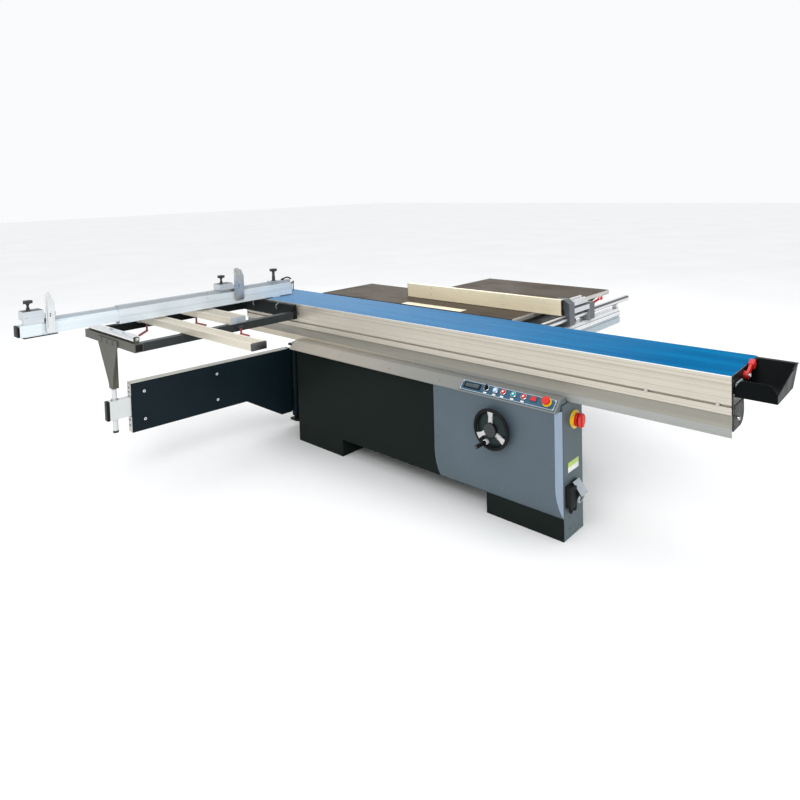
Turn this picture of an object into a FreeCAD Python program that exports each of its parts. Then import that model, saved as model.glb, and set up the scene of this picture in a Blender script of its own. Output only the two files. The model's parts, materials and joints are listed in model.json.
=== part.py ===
"""Sliding-table panel saw, built as separate sub-parts, in millimetres.

Working frame while modelling: X = 0 at the operator's end of the sliding carriage and
running towards the operator, Y = 0 at the carriage's outer side face and running towards
the fixed tables, Z = 0 on the floor. Every sub-part is moved at the end so that the origin
is the middle of the machine's footprint box, on the floor.
"""
import FreeCAD, Part
import math
import os

V = FreeCAD.Vector
X_AXIS, Y_AXIS, Z_AXIS = V(1, 0, 0), V(0, 1, 0), V(0, 0, 1)

# ---------------------------------------------------------------- driving dimensions
TABLE_Z = 865.0            # working height of every table surface
FILM = 1.0                 # protective film on the carriage

CARRIAGE_LENGTH = 3200.0
CARRIAGE_WIDTH = 362.0
CARRIAGE_BOTTOM = 712.0    # lower edge of the outer skirt
SLOT_Z = 746.0             # middle of the T-slot in the carriage's outer side
BOX_BOTTOM = 790.0         # underside of the carriage's hollow box, where the rollers run
NOSE_BOTTOM = 846.0        # underside of the thin nose beside the blade
BEAM_TOP = 745.0
BEAM_BOTTOM = 651.0
APRON_BOTTOM = 624.0
BEAM_WIDTH = 150.0
CAP = 4.0                  # thickness of the end plates

BASE_LEFT, BASE_RIGHT = -2567.0, -1104.0
BASE_FRONT, BASE_BACK = -58.0, 860.0
FLOOR_GAP = 104.0          # clear height under the base between its feet
LOW_TOP = 618.0            # base height in front, under the beam
HIGH_TOP = 825.0           # base height behind, under the main table
SHEET = 6.0
FOOT_RIGHT = -2155.0       # right side of the left foot
CABINET_LEFT, CABINET_RIGHT = BASE_RIGHT, -683.0
CABINET_BACK = 121.0
PANEL_FRONT = -62.0        # outer face of the flat black front panel
PANEL_TOP = 596.0
COVER_FRONT = -104.0       # outer face of the raised grey cover
COVER_LEFT = -1395.0
CORNER_DEPTH = 16.0        # how far the cover's bevelled right corner reaches to the left
HOOD_LIP_Y, HOOD_LIP_Z = -110.0, 597.0
HOOD_APEX_Y, HOOD_APEX_Z = -62.0, 645.0
HOOD_LEFT, HOOD_RIGHT = -2580.0, -690.0
HOOD_BACK = -12.0

MAIN_LEFT, MAIN_RIGHT = -2825.0, -1230.0
MAIN_NEAR, MAIN_FAR = 380.0, 870.0
EXT_LEFT, EXT_RIGHT = -2210.0, -1220.0
EXT_NEAR, EXT_FAR = 873.0, 1568.0
TABLE_DEPTH = 40.0

BLADE_X, BLADE_Y = -1900.0, 371.5
TRUNNION_R = 387.0         # radius of the tilt guides about the line where the blade meets the table
TRUNNION_X = (-2196.0, -1566.0)      # left faces of the two tilt plates
TRUNNION_T = 16.0
BLADE_R, BLADE_T = 152.5, 3.2
BLADE_Z = 698.0            # spindle height with the blade fully lowered
SCORE_X, SCORE_R, SCORE_Z = -1660.0, 60.0, 797.0
MOTOR_Z, MOTOR_R = 380.0, 85.0
MOTOR_PULLEY_R, BLADE_PULLEY_R = 44.0, 32.0
BELT_T = 5.0
ARBOR_POCKET = (-2080.0, -1580.0, 530.0)   # left, right and far side of the thin table part

WHEEL_X, WHEEL_Z, WHEEL_R = -1014.0, 460.0, 100.0
WHEEL_Y = -140.0           # middle plane of the handwheel's rim
SHAFT_HOLE = 14.0          # radius of the holes that its shaft passes through

PIVOT = (-2800.0, 92.0)    # swing arm's hinge
POST = (-2903.0, -1070.0)  # support post under the outrigger
ARM_TOP, ARM_BOTTOM, HUB_BOTTOM = 542.0, 260.0, 108.0
ARM_START, ARM_END = 63.0, 1086.0
TUBE_TOP, TUBE_BOTTOM = 463.0, 357.0
ROD_R = 12.5
PIN_GAP = 0.05             # running clearance of the pins in their bores

FRAME_LEFT, FRAME_RIGHT = -3241.0, -2605.0
FRAME_OUTER, FRAME_INNER = -1078.0, -14.0
FRAME_BOTTOM, FRAME_TOP = 774.0, 820.0
RAIL_TOP = 862.0
LEG_BOTTOM = 530.0

FENCE_FACE = -2950.0       # working face of the cross-cut fence
FENCE_BOTTOM, FENCE_TOP = 872.0, 950.0
RIB = 22.0                 # height of the rear rib above the fence's face
BLOCK_TOP = 948.0          # top of the block at the extension's end
GAP = 0.4                  # running gap between sliding faces
FENCE_LEFT, FENCE_RIGHT = -1000.0, 205.0
FENCE_PIVOT_Y = 74.0
EXTENSION_LEFT = -1508.0
STOP_X = FENCE_FACE - 30.0  # middle of the stops that ride on the fence
STOP_1_Y, STOP_2_Y = -1446.0, -326.0
STOP_BACK, STOP_FRONT = 38.0, 58.0   # how far a stop's body reaches either side of its knob

RIP_FACE_Y = 605.0
RIP_LEFT, RIP_RIGHT = -2205.0, -1052.0
BAR_X, BAR_Z, BAR_R = -1052.0, 842.0, 19.0
BAR_START, BAR_END = 400.0, 1470.0
RAIL_BACK = -1091.0        # back face of the rail under the bar

TRAY_RIGHT, TRAY_FRONT, TRAY_BACK = 154.0, 12.0, 350.0

X_SPAN = (FRAME_LEFT, TRAY_RIGHT)
Y_SPAN = (EXTENSION_LEFT, EXT_FAR)
SHIFT = V(-sum(X_SPAN) / 2, -sum(Y_SPAN) / 2, 0)

NODES = {}


# ---------------------------------------------------------------- shape helpers
def box(x0, x1, y0, y1, z0, z1):
    """Block between two corners."""
    return Part.makeBox(x1 - x0, y1 - y0, z1 - z0, V(x0, y0, z0))


def rod(start, axis, radius, length):
    """Solid cylinder from a start point along an axis."""
    return Part.makeCylinder(radius, length, V(*start), axis)


def tube(start, axis, outer, inner, length):
    """Hollow cylinder."""
    return rod(start, axis, outer, length).cut(rod(start, axis, inner, length))


def prism_x(points, x0, x1):
    """Polygon given as (y, z) points, extruded along X."""
    wire = Part.makePolygon([V(x0, y, z) for y, z in points] + [V(x0, *points[0])])
    return Part.Face(wire).extrude(V(x1 - x0, 0, 0))


def prism_y(points, y0, y1):
    """Polygon given as (x, z) points, extruded along Y."""
    corners = [V(x, y0, z) for x, z in points]
    return Part.Face(Part.makePolygon(corners + corners[:1])).extrude(V(0, y1 - y0, 0))


def prism_z(points, z0, z1):
    """Polygon given as (x, y) points, extruded along Z."""
    corners = [V(x, y, z0) for x, y in points]
    return Part.Face(Part.makePolygon(corners + corners[:1])).extrude(V(0, 0, z1 - z0))


def join(shapes):
    """Fuse a list of overlapping or touching solids into one."""
    result = shapes[0]
    for shape in shapes[1:]:
        result = result.fuse(shape)
    return result.removeSplitter()


def group(shapes):
    """Keep separate solids together in one sub-part."""
    return Part.makeCompound(shapes)


def carve(shape, cutters):
    """Cut a list of shapes from a solid."""
    for cutter in cutters:
        shape = shape.cut(cutter)
    return shape


def outline(segments):
    """Closed face at X = 0 from a list of (y, z) runs; three points in a run make an arc."""
    edges = []
    for run in segments:
        points = [V(0, y, z) for y, z in run]
        if len(points) == 3:
            edges.append(Part.Arc(*points).toShape())
        else:
            edges.append(Part.LineSegment(*points).toShape())
    return Part.Face(Part.Wire(edges))


def star_knob(x, y, z, radius, height, stem, stem_radius=5.0):
    """Five-lobed clamping knob standing on a stem, its stem's foot at the given point."""
    lobes = []
    for index in range(5):
        angle = math.radians(72 * index)
        lobe = V(x + 0.62 * radius * math.cos(angle), y + 0.62 * radius * math.sin(angle), z + stem)
        lobes.append(Part.makeCylinder(0.38 * radius, height, lobe, Z_AXIS))
    core = rod((x, y, z + stem), Z_AXIS, 0.72 * radius, height)
    skirt = Part.makeCone(0.3 * radius, 0.55 * radius, 0.5 * height, V(x, y, z + stem - 0.5 * height))
    return join([core, skirt, rod((x, y, z), Z_AXIS, stem_radius, stem + 1)] + lobes)


def add(name, shape):
    """Keep a finished sub-part under its name."""
    NODES[name] = shape


# ---------------------------------------------------------------- base and covers
def on_circle(radius, degrees):
    """(y, z) point on a circle round the tilt axis, measured from straight down towards +Y."""
    angle = math.radians(degrees)
    return (BLADE_Y + radius * math.sin(angle), TABLE_Z - radius * math.cos(angle))


def build_base():
    """Welded base: end walls, floor plate, back wall, feet, beam seats and tilt cradles."""
    wall = [(BASE_FRONT, FLOOR_GAP), (BASE_BACK, FLOOR_GAP), (BASE_BACK, HIGH_TOP),
            (400, HIGH_TOP), (400, LOW_TOP), (BASE_FRONT, LOW_TOP)]
    parts = [prism_x(wall, BASE_LEFT, BASE_LEFT + SHEET),
             prism_x(wall, BASE_RIGHT - SHEET, BASE_RIGHT),
             box(BASE_LEFT, BASE_RIGHT, BASE_FRONT, BASE_BACK, FLOOR_GAP, FLOOR_GAP + SHEET),
             box(BASE_LEFT, BASE_RIGHT, BASE_BACK - SHEET, BASE_BACK, FLOOR_GAP, HIGH_TOP),
             box(BASE_LEFT, BASE_RIGHT, BASE_FRONT, HOOD_BACK + 2, LOW_TOP - 4, LOW_TOP)]
    for x0, x1, y0 in ((BASE_LEFT, FOOT_RIGHT, BASE_FRONT), (-1500.0, BASE_RIGHT, 300.0)):
        foot = box(x0, x1, y0, BASE_BACK, 0, FLOOR_GAP)
        parts.append(foot.cut(box(x0 + 8, x1 - 8, y0 + 8, BASE_BACK + 1, 8, FLOOR_GAP)))
    for x0, x1 in ((BASE_LEFT, BASE_LEFT + 130), (BASE_RIGHT - 130, BASE_RIGHT)):
        parts.append(box(x0, x1, 18, 112, LOW_TOP - 60, BEAM_BOTTOM))
        parts.append(box(x0, x1, BASE_FRONT, 400, LOW_TOP - 60, LOW_TOP - 50))
    low, mid, high = (on_circle(TRUNNION_R + GAP, degrees) for degrees in (-42, -6, 30))
    cradle = outline([[low, mid, high], [high, (high[0], FLOOR_GAP)],
                      [(high[0], FLOOR_GAP), (low[0], FLOOR_GAP)], [(low[0], FLOOR_GAP), low]])
    for x0 in TRUNNION_X:
        plate = cradle.copy()
        plate.translate(V(x0, 0, 0))
        parts.append(plate.extrude(V(TRUNNION_T, 0, 0)))
    base = join(parts)
    vents = [rod((x, BASE_BACK + 1, z), V(0, -1, 0), 6, SHEET + 2)
             for x in (-2100, -1650) for z in range(220, 420, 40)]
    add("base_frame", carve(base, vents))


def build_panels():
    """Flat black front panel with the left foot's face, and the black plate of the cabinet."""
    panel = prism_y([(BASE_LEFT, 0), (FOOT_RIGHT, 0), (FOOT_RIGHT, FLOOR_GAP),
                     (BASE_RIGHT, FLOOR_GAP), (BASE_RIGHT, PANEL_TOP), (BASE_LEFT, PANEL_TOP)],
                    PANEL_FRONT, BASE_FRONT)
    edge = CABINET_RIGHT - 6
    plinth = prism_y([(CABINET_LEFT, 0), (CABINET_RIGHT, 0), (CABINET_RIGHT, FLOOR_GAP - 1),
                      (edge, FLOOR_GAP - 1), (edge, PANEL_TOP), (CABINET_LEFT, PANEL_TOP)],
                     PANEL_FRONT, BASE_FRONT)
    plinth = plinth.cut(rod((WHEEL_X, PANEL_FRONT - 1, WHEEL_Z), Y_AXIS, SHAFT_HOLE, 6))
    add("front_panel", group([panel, plinth]))


def cover_profile(inset):
    """Side profile of the raised cover: upright face that curves back to the panel below."""
    front = COVER_FRONT + inset
    top, bend, low = PANEL_TOP, 300.0, FLOOR_GAP + 2
    return outline([
        [(front, top), (front, bend)],
        [(front, bend), (front + 9, 190 + inset), (PANEL_FRONT, low + 2.2 * inset)],
        [(PANEL_FRONT, low + 2.2 * inset), (PANEL_FRONT, top)],
        [(PANEL_FRONT, top), (front, top)],
    ])


def cover_block(inset):
    """Raised cover as a full block, its right corner bevelled steeply back to the panel."""
    left, right = COVER_LEFT + inset, CABINET_RIGHT - inset
    face = cover_profile(inset)
    face.translate(V(left, 0, 0))
    block = face.extrude(V(right - left, 0, 0))
    run, rise = 2 * CORNER_DEPTH, 2 * (PANEL_FRONT - COVER_FRONT)
    corner = right - 0.2 * inset
    wedge = prism_z([(corner, PANEL_FRONT), (corner - run, PANEL_FRONT - rise),
                     (corner + rise, PANEL_FRONT - rise), (corner + rise, PANEL_FRONT)], 0, 900)
    return block.cut(wedge)


def build_cover():
    """Grey sheet cover over the controls, open at its back."""
    shell = cover_block(0).cut(cover_block(3.0))
    hole = rod((WHEEL_X, COVER_FRONT - 5, WHEEL_Z), Y_AXIS, SHAFT_HOLE + 2, 20)
    add("front_cover", shell.cut(hole))


def build_cabinet():
    """Narrow switch cabinet at the operator's end, standing on the floor."""
    outer = box(CABINET_LEFT, CABINET_RIGHT, BASE_FRONT, CABINET_BACK, 0, LOW_TOP + 2)
    inner = box(CABINET_LEFT + 3, CABINET_RIGHT - 3, BASE_FRONT + 3, CABINET_BACK - 3, 3, LOW_TOP - 1)
    holes = [rod((WHEEL_X, BASE_FRONT - 5, WHEEL_Z), Y_AXIS, SHAFT_HOLE, 12),
             rod((CABINET_LEFT - 2, 60, 300), X_AXIS, 20, 8),
             rod((CABINET_RIGHT - 5, -6, 42), X_AXIS, 5, 8)]
    add("switch_cabinet", carve(outer.cut(inner), holes))


def build_hood():
    """Sloping light hood with a cheek at each end, on flanges that stand on the base."""
    bend = HOOD_APEX_Y - 2
    skin = prism_x([(HOOD_LIP_Y, HOOD_LIP_Z), (HOOD_LIP_Y, HOOD_LIP_Z + 6), (bend, HOOD_APEX_Z),
                    (HOOD_BACK, HOOD_APEX_Z), (HOOD_BACK, HOOD_APEX_Z - 2), (bend + 1, HOOD_APEX_Z - 2),
                    (HOOD_LIP_Y + 2, HOOD_LIP_Z + 5), (HOOD_LIP_Y + 2, HOOD_LIP_Z)], HOOD_LEFT, HOOD_RIGHT)
    cheek = [(HOOD_LIP_Y, HOOD_LIP_Z), (HOOD_LIP_Y, HOOD_LIP_Z + 6), (bend, HOOD_APEX_Z),
             (HOOD_BACK, HOOD_APEX_Z), (HOOD_BACK, LOW_TOP + 4), (bend, LOW_TOP + 4), (bend, HOOD_LIP_Z)]
    flanges = [box(BASE_LEFT, BASE_RIGHT - 1, HOOD_BACK - 2, HOOD_BACK, LOW_TOP, HOOD_APEX_Z),
               box(CABINET_LEFT + 1, CABINET_RIGHT - 12, HOOD_BACK - 2, HOOD_BACK, LOW_TOP + 2, HOOD_APEX_Z)]
    add("cover_hood", join([skin, prism_x(cheek, HOOD_LEFT, HOOD_LEFT + 2),
                            prism_x(cheek, HOOD_RIGHT - 2, HOOD_RIGHT)] + flanges))


# ---------------------------------------------------------------- console on the hood's slope
SLOPE = math.atan2(HOOD_APEX_Z - HOOD_LIP_Z - 6, HOOD_APEX_Y - 2 - HOOD_LIP_Y)
SLOPE_LENGTH = math.hypot(HOOD_APEX_Z - HOOD_LIP_Z - 6, HOOD_APEX_Y - 2 - HOOD_LIP_Y)
SLOPE_NORMAL = V(0, -math.sin(SLOPE), math.cos(SLOPE))
CONSOLE_LEFT, CONSOLE_RIGHT = -1226.0, -700.0
CONSOLE_PLATE = 3.0
BUTTON_X = (-1022.0, -978.0, -922.0, -866.0)
SELECTOR_X, ROCKER_X, ESTOP_X = -1074.0, -814.0, -745.0
BUTTON_ROW = 0.60 * SLOPE_LENGTH   # distance of the button row up the slope


def on_slope(shape):
    """Lay a shape drawn flat (X along the console, Y up the slope, Z outwards) on the hood."""
    shape.rotate(V(0, 0, 0), X_AXIS, math.degrees(SLOPE))
    shape.translate(V(0, HOOD_LIP_Y, HOOD_LIP_Z + 6))
    return shape


def build_console():
    """Console plate with bezels, and every control on it as its own piece."""
    row = BUTTON_ROW
    plate = box(CONSOLE_LEFT, CONSOLE_RIGHT, 3, SLOPE_LENGTH - 3, 0.3, CONSOLE_PLATE)
    bezels = [tube((x, row, CONSOLE_PLATE - 0.5), Z_AXIS, 14.5, 11.6, 5) for x in BUTTON_X]
    bezels.append(tube((SELECTOR_X, row, CONSOLE_PLATE - 0.5), Z_AXIS, 14.5, 11.6, 5))
    bezels.append(box(ROCKER_X - 17, ROCKER_X + 17, row - 13, row + 13, CONSOLE_PLATE - 0.5, 6)
                  .cut(box(ROCKER_X - 14, ROCKER_X + 14, row - 10, row + 10, CONSOLE_PLATE, 8)))
    add("console_plate", on_slope(join([plate] + bezels)))
    for index, x in enumerate(BUTTON_X, 1):
        cap = Part.makeCylinder(11.0, 7, V(x, row, CONSOLE_PLATE + 3.4), Z_AXIS)
        add(f"push_button_{index}", on_slope(cap.makeFillet(1.5, [cap.Edges[0]])))
    grip = join([rod((SELECTOR_X, row, CONSOLE_PLATE + 0.4), Z_AXIS, 11.0, 7),
                 box(SELECTOR_X - 3.5, SELECTOR_X + 3.5, row - 13, row + 13, 9, 19)])
    add("selector_knob", on_slope(grip))
    rocker = prism_x([(row - 9, 7.6), (row, 8.6), (row + 9, 12.0), (row + 9, 8.2), (row, 6.2),
                      (row - 9, 6.4)], ROCKER_X - 13.5, ROCKER_X + 13.5)
    barrel = rod((ROCKER_X - 13.5, row, 7.0), X_AXIS, 2.4, 27)
    add("rocker_switch", on_slope(rocker.fuse(barrel).removeSplitter()))
    head = Part.makeCylinder(19, 12, V(ESTOP_X, row, 17), Z_AXIS)
    head = head.makeFillet(4, [head.Edges[0]])
    add("estop_button", on_slope(join([head, rod((ESTOP_X, row, 8.5), Z_AXIS, 11, 10)])))
    estop_base = on_slope(tube((ESTOP_X, row, CONSOLE_PLATE), Z_AXIS, 22, 11.6, 4))
    plate = rod((CABINET_RIGHT, 48, 532), X_AXIS, 42, 6)
    neck = rod((CABINET_RIGHT + 6, 48, 532), X_AXIS, 28, 6)
    add("switch_bases", group([estop_base, plate.fuse(neck).removeSplitter()]))


def build_isolator():
    """Red turning knob of the mains isolator."""
    x = CABINET_RIGHT + 12.4
    disc = rod((x, 48, 532), X_AXIS, 31, 14)
    grip = box(x + 13, x + 34, 48 - 9, 48 + 9, 532 - 29, 532 + 29)
    add("isolator_knob", join([disc, grip.makeFillet(4, [grip.Edges[i] for i in (4, 5, 6, 7)])]))


def build_inlet():
    """Appliance inlet: black housing, round socket under a sloping spring lid, two glands."""
    x = CABINET_RIGHT
    plate = box(x, x + 12, -46, 58, 152, 250)
    housing = prism_z([(x, -46), (x + 28, -42), (x + 34, 0), (x, 0)], 152, 248)
    socket = rod((x + 8, 27, 196), V(1, 0, -0.35), 24, 34)
    lid = prism_y([(x + 10, 252), (x + 16, 257), (x + 58, 204), (x + 52, 199)], 0, 56)
    knuckle = box(x, x + 18, 4, 52, 242, 255)
    glands = [rod((x + 15, y, z), Z_AXIS, r, 16) for y in (-24, 12) for z, r in ((126, 8), (139, 10))]
    add("power_inlet", join([plate, housing, socket, lid, knuckle] + glands))


# ---------------------------------------------------------------- beam and sliding carriage
def beam_outline():
    """Beam section: box with a bellied far side, and a thin apron in front."""
    return outline([
        [(20, BEAM_TOP), (BEAM_WIDTH, BEAM_TOP)],
        [(BEAM_WIDTH, BEAM_TOP), (BEAM_WIDTH + 1, 720)],
        [(BEAM_WIDTH + 1, 720), (142, 672), (104, BEAM_BOTTOM)],
        [(104, BEAM_BOTTOM), (5, BEAM_BOTTOM)],
        [(5, BEAM_BOTTOM), (4, APRON_BOTTOM)],
        [(4, APRON_BOTTOM), (0, APRON_BOTTOM)],
        [(0, APRON_BOTTOM), (0, 662)],
        [(0, 662), (8, 684), (6, 709)],
        [(6, 709), (20, 709)],
        [(20, 709), (20, BEAM_TOP)],
    ])


def build_beam():
    """Fixed beam of the sliding table with its chambers and guide tracks, and its end caps."""
    face = beam_outline()
    face.translate(V(-CARRIAGE_LENGTH, 0, 0))
    profile = face.extrude(V(CARRIAGE_LENGTH, 0, 0))
    chamber = prism_x([(28, 660), (100, 660), (134, 690), (142, 720), (142, 737), (28, 737)],
                      -CARRIAGE_LENGTH - 1, 1)
    add("beam_profile", profile.cut(chamber))
    cap = outline([
        [(22, 742), (BEAM_WIDTH + 2, 742)],
        [(BEAM_WIDTH + 2, 742), (BEAM_WIDTH + 3, 720)],
        [(BEAM_WIDTH + 3, 720), (144, 670), (106, 648)],
        [(106, 648), (8, 648)],
        [(8, 648), (8, 706)],
        [(8, 706), (22, 706)],
        [(22, 706), (22, 742)],
    ])
    caps = []
    for x in (0, -CARRIAGE_LENGTH - CAP):
        one = cap.copy()
        one.translate(V(x, 0, 0))
        caps.append(one.extrude(V(CAP, 0, 0)))
    add("beam_end_caps", group(caps))


def carriage_points(edge):
    """Carriage section, drawn in by an even edge for its end plates."""
    near, far = edge, CARRIAGE_WIDTH - edge
    top = TABLE_Z - FILM - edge
    return [(near, CARRIAGE_BOTTOM + edge), (near, top), (far, top), (far - 18, top - 18),
            (232, NOSE_BOTTOM + edge), (232 - edge, BOX_BOTTOM + edge), (16 - edge, BOX_BOTTOM + edge),
            (16 - edge, CARRIAGE_BOTTOM + edge)]


def build_carriage():
    """Extruded carriage with its side T-slot, film, end plates and tool tray."""
    left = -CARRIAGE_LENGTH
    body = prism_x(carriage_points(0), left, 0)
    cutters = [box(left - 1, 1, -1, 4, SLOT_Z - 5, SLOT_Z + 5), box(left - 1, 1, 4, 11, SLOT_Z - 10, SLOT_Z + 10),
               box(left - 1, 1, -1, 2, 829, 833), box(left - 1, 1, -1, 1.5, 846, 850)]
    for y0, y1 in ((8, 75), (83, 150), (158, 224)):
        cutters.append(box(left - 1, 1, y0, y1, BOX_BOTTOM + 8, 856))
    add("carriage_profile", carve(body, cutters))
    add("carriage_film", box(left, 0, 0.5, CARRIAGE_WIDTH - 1, TABLE_Z - FILM, TABLE_Z))
    add("carriage_end_plates", group([prism_x(carriage_points(1), x, x + CAP)
                                      for x in (0, left - CAP)]))


def build_tray():
    """Black bin for small tools on the carriage's end, low at its operator side."""
    x0, x1, wall = CAP + 2.0, TRAY_RIGHT, 3.0
    side = [(TRAY_FRONT, 783), (258, 783), (TRAY_BACK, 862), (TRAY_BACK - 26, 862), (TRAY_FRONT, 812)]
    inner = [(TRAY_FRONT + wall, 783 + wall), (256, 783 + wall), (TRAY_BACK - 6, 870), (TRAY_FRONT + wall, 870)]
    bin_shell = prism_x(side, x0, x1).cut(prism_x(inner, x0 + wall, x1 - wall))
    back = prism_x([(253, 783), (258, 783), (TRAY_BACK, 862), (TRAY_BACK - 5, 862)], x0, x1)
    front = prism_y([(x0, 783), (x1, 783), (x1, 812), (x1 - 22, 848), (x0 + 26, 848), (x0, 812)],
                    TRAY_FRONT, TRAY_FRONT + wall)
    rim = box(x0, x1, TRAY_BACK - 8, TRAY_BACK + 8, 857, 862)
    notch = box(x0 - 1, x0 + wall + 1, 100, 245, 806, 880)
    hook = box(CAP, x0 + wall, 40, 96, 790, 806)
    add("tray", join([bin_shell.cut(notch), back, front, rim, hook]))


def build_lock_lever():
    """Red lever that locks the carriage, on its end plate."""
    hub = rod((CAP + 0.4, 150, 836), X_AXIS, 15, 18)
    arm = box(CAP + 8, CAP + 18, 150, 226, 826, 846)
    grip = box(CAP + 4, CAP + 24, 205, 240, 822, 850)
    arm = join([arm, grip.makeFillet(6, [grip.Edges[i] for i in (8, 9, 10, 11)])])
    arm.rotate(V(0, 150, 836), X_AXIS, 24)
    add("lock_lever", join([hub, arm]))


def build_roller_cage():
    """Intermediate carriage: a bar with pairs of rollers between beam and carriage."""
    x0, x1, z = -2350.0, -850.0, (BEAM_TOP + BOX_BOTTOM) / 2
    radius = (BOX_BOTTOM - BEAM_TOP) / 2 - 0.4
    solids = [box(x0, x1, 60, 112, z - 9, z + 9)]
    for index in range(8):
        x = x0 + 60 + index * (x1 - x0 - 120) / 7
        solids.append(rod((x, 30, z), Y_AXIS, 5, 112))
        solids.append(rod((x, 32, z), Y_AXIS, radius, 22))
        solids.append(rod((x, 118, z), Y_AXIS, radius, 22))
    add("roller_cage", join(solids))


# ---------------------------------------------------------------- outrigger and its leg
ROLLER_Y, ROLLER_Z = -1055.0, 841.0
SUPPORT_NEAR, SUPPORT_FAR = -797.0, -712.0     # sides of the sliding support rail
RIBBED_NEAR, RIBBED_FAR = -510.0, -405.0       # sides of the fixed ribbed rail
GUIDE = 3.0                                    # thickness of the pads under the support rail


def leg_pieces():
    """Square leg under the outer beam, with a broad gusset plate on its front."""
    x = POST[0]
    front = FRAME_OUTER - 7
    leg = box(x - 22, x + 20, front + 5, front + 35, LEG_BOTTOM, FRAME_BOTTOM)
    gusset = prism_y([(x - 145, FRAME_BOTTOM), (x - 34, 570), (x - 22, LEG_BOTTOM), (x + 20, LEG_BOTTOM),
                      (x + 32, 600), (x + 70, 706), (x + 97, FRAME_BOTTOM)], front, front + 5)
    lug = box(x - 145, x + 97, front, FRAME_OUTER, FRAME_BOTTOM - 1, FRAME_BOTTOM + 34)
    return [leg, gusset, lug]


def build_outrigger():
    """Outrigger frame: inner plate, tubes and outer beam, with its leg, rails and roller."""
    plate = box(FRAME_LEFT, -2622, -38, FRAME_INNER, 776, 860)
    rear = box(FRAME_LEFT, FRAME_LEFT + 46, FRAME_OUTER + 46, -38, FRAME_BOTTOM, FRAME_TOP)
    seats = [box(x, x + 50, FRAME_INNER, 0, 776, 812) for x in (-3150, -2760)]
    add("outrigger_frame", join([plate, rear] + seats))

    beam = box(FRAME_LEFT, FRAME_RIGHT, FRAME_OUTER, FRAME_OUTER + 46, FRAME_BOTTOM, FRAME_TOP)
    roller_tabs = [box(x, x + 8, ROLLER_Y - 11, ROLLER_Y + 11, FRAME_TOP - 1, 852) for x in (-3214, -2630)]
    axles = [rod((x, ROLLER_Y, ROLLER_Z), X_AXIS, 5, 40) for x in (-3207, -2662)]
    add("outrigger_beam", join([beam] + leg_pieces() + roller_tabs + axles))

    front = box(FRAME_RIGHT - 45, FRAME_RIGHT, FRAME_OUTER + 46, -38, FRAME_BOTTOM, FRAME_TOP)
    bore = box(FRAME_RIGHT - 41, FRAME_RIGHT - 4, FRAME_OUTER + 45, -37, FRAME_BOTTOM + 4, FRAME_TOP - 4)
    rail = box(-3196, FRAME_RIGHT, RIBBED_NEAR, RIBBED_FAR, FRAME_TOP, RAIL_TOP)
    grooves = [box(-3197, FRAME_RIGHT + 1, RIBBED_NEAR + 13 + 16 * i, RIBBED_NEAR + 20 + 16 * i,
                   RAIL_TOP - 4, RAIL_TOP + 1) for i in range(5)]
    slot = box(-3197, FRAME_RIGHT + 1, RIBBED_NEAR + 4, RIBBED_FAR - 4, FRAME_TOP + 5, RAIL_TOP - 9)
    add("outrigger_rails", group([front.cut(bore), carve(rail, grooves + [slot])]))

    roller = tube((-3202, ROLLER_Y, ROLLER_Z), X_AXIS, 20.5, 5 + PIN_GAP, 568)
    relief = rod((-3166, ROLLER_Y, ROLLER_Z), X_AXIS, 16.5, 496)
    add("outer_roller", roller.cut(relief))

    left, right, low = -3130.0, -1972.0, FRAME_TOP + GUIDE + 0.4
    body = box(left, right, SUPPORT_NEAR, SUPPORT_FAR, low, RAIL_TOP - 1)
    core = box(left - 1, right + 1, SUPPORT_NEAR + 5, SUPPORT_FAR - 5, low + 6, RAIL_TOP - 10)
    lines = [box(left - 1, right + 1, SUPPORT_NEAR + y, SUPPORT_NEAR + y + 6, RAIL_TOP - 5, RAIL_TOP)
             for y in (21, 40, 58)]
    end = box(right, right + 14, SUPPORT_NEAR, SUPPORT_FAR, low, RAIL_TOP - 1)
    add("support_rail", group([carve(body, [core] + lines), end]))


def clamp_lever(x, y, top, length, heading):
    """Small cam lever that hangs under a rail: its stud, and an arm turned to a heading."""
    arm = box(x - 7, x + length, y - 6, y + 6, 756, 766)
    arm.rotate(V(x, y, 761), Z_AXIS, heading)
    return join([rod((x, y, 757), Z_AXIS, 6, top - 757), arm])


def build_outrigger_clamps():
    """Guide pads under the support rail, and the three small red cam levers."""
    near, far = SUPPORT_NEAR - 9, SUPPORT_FAR + 12
    guides = [box(x0, x1, near, far, FRAME_TOP, FRAME_TOP + GUIDE)
              for x0, x1 in ((-3230, -3122), (-2645, -2611))]
    ledge = box(FRAME_RIGHT, FRAME_RIGHT + 40, RIBBED_NEAR + 33, RIBBED_FAR - 37, 800, 810)
    levers = [clamp_lever(-3145, -755, FRAME_TOP, 130, -45),
              clamp_lever(-3086, -457, FRAME_TOP, 104, 3),
              join([clamp_lever(FRAME_RIGHT + 28, -457, 804, 80, 0), ledge])]
    add("outrigger_clamps", group([join([guides[0], levers[0]]), guides[1], levers[1], levers[2]]))


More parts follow.
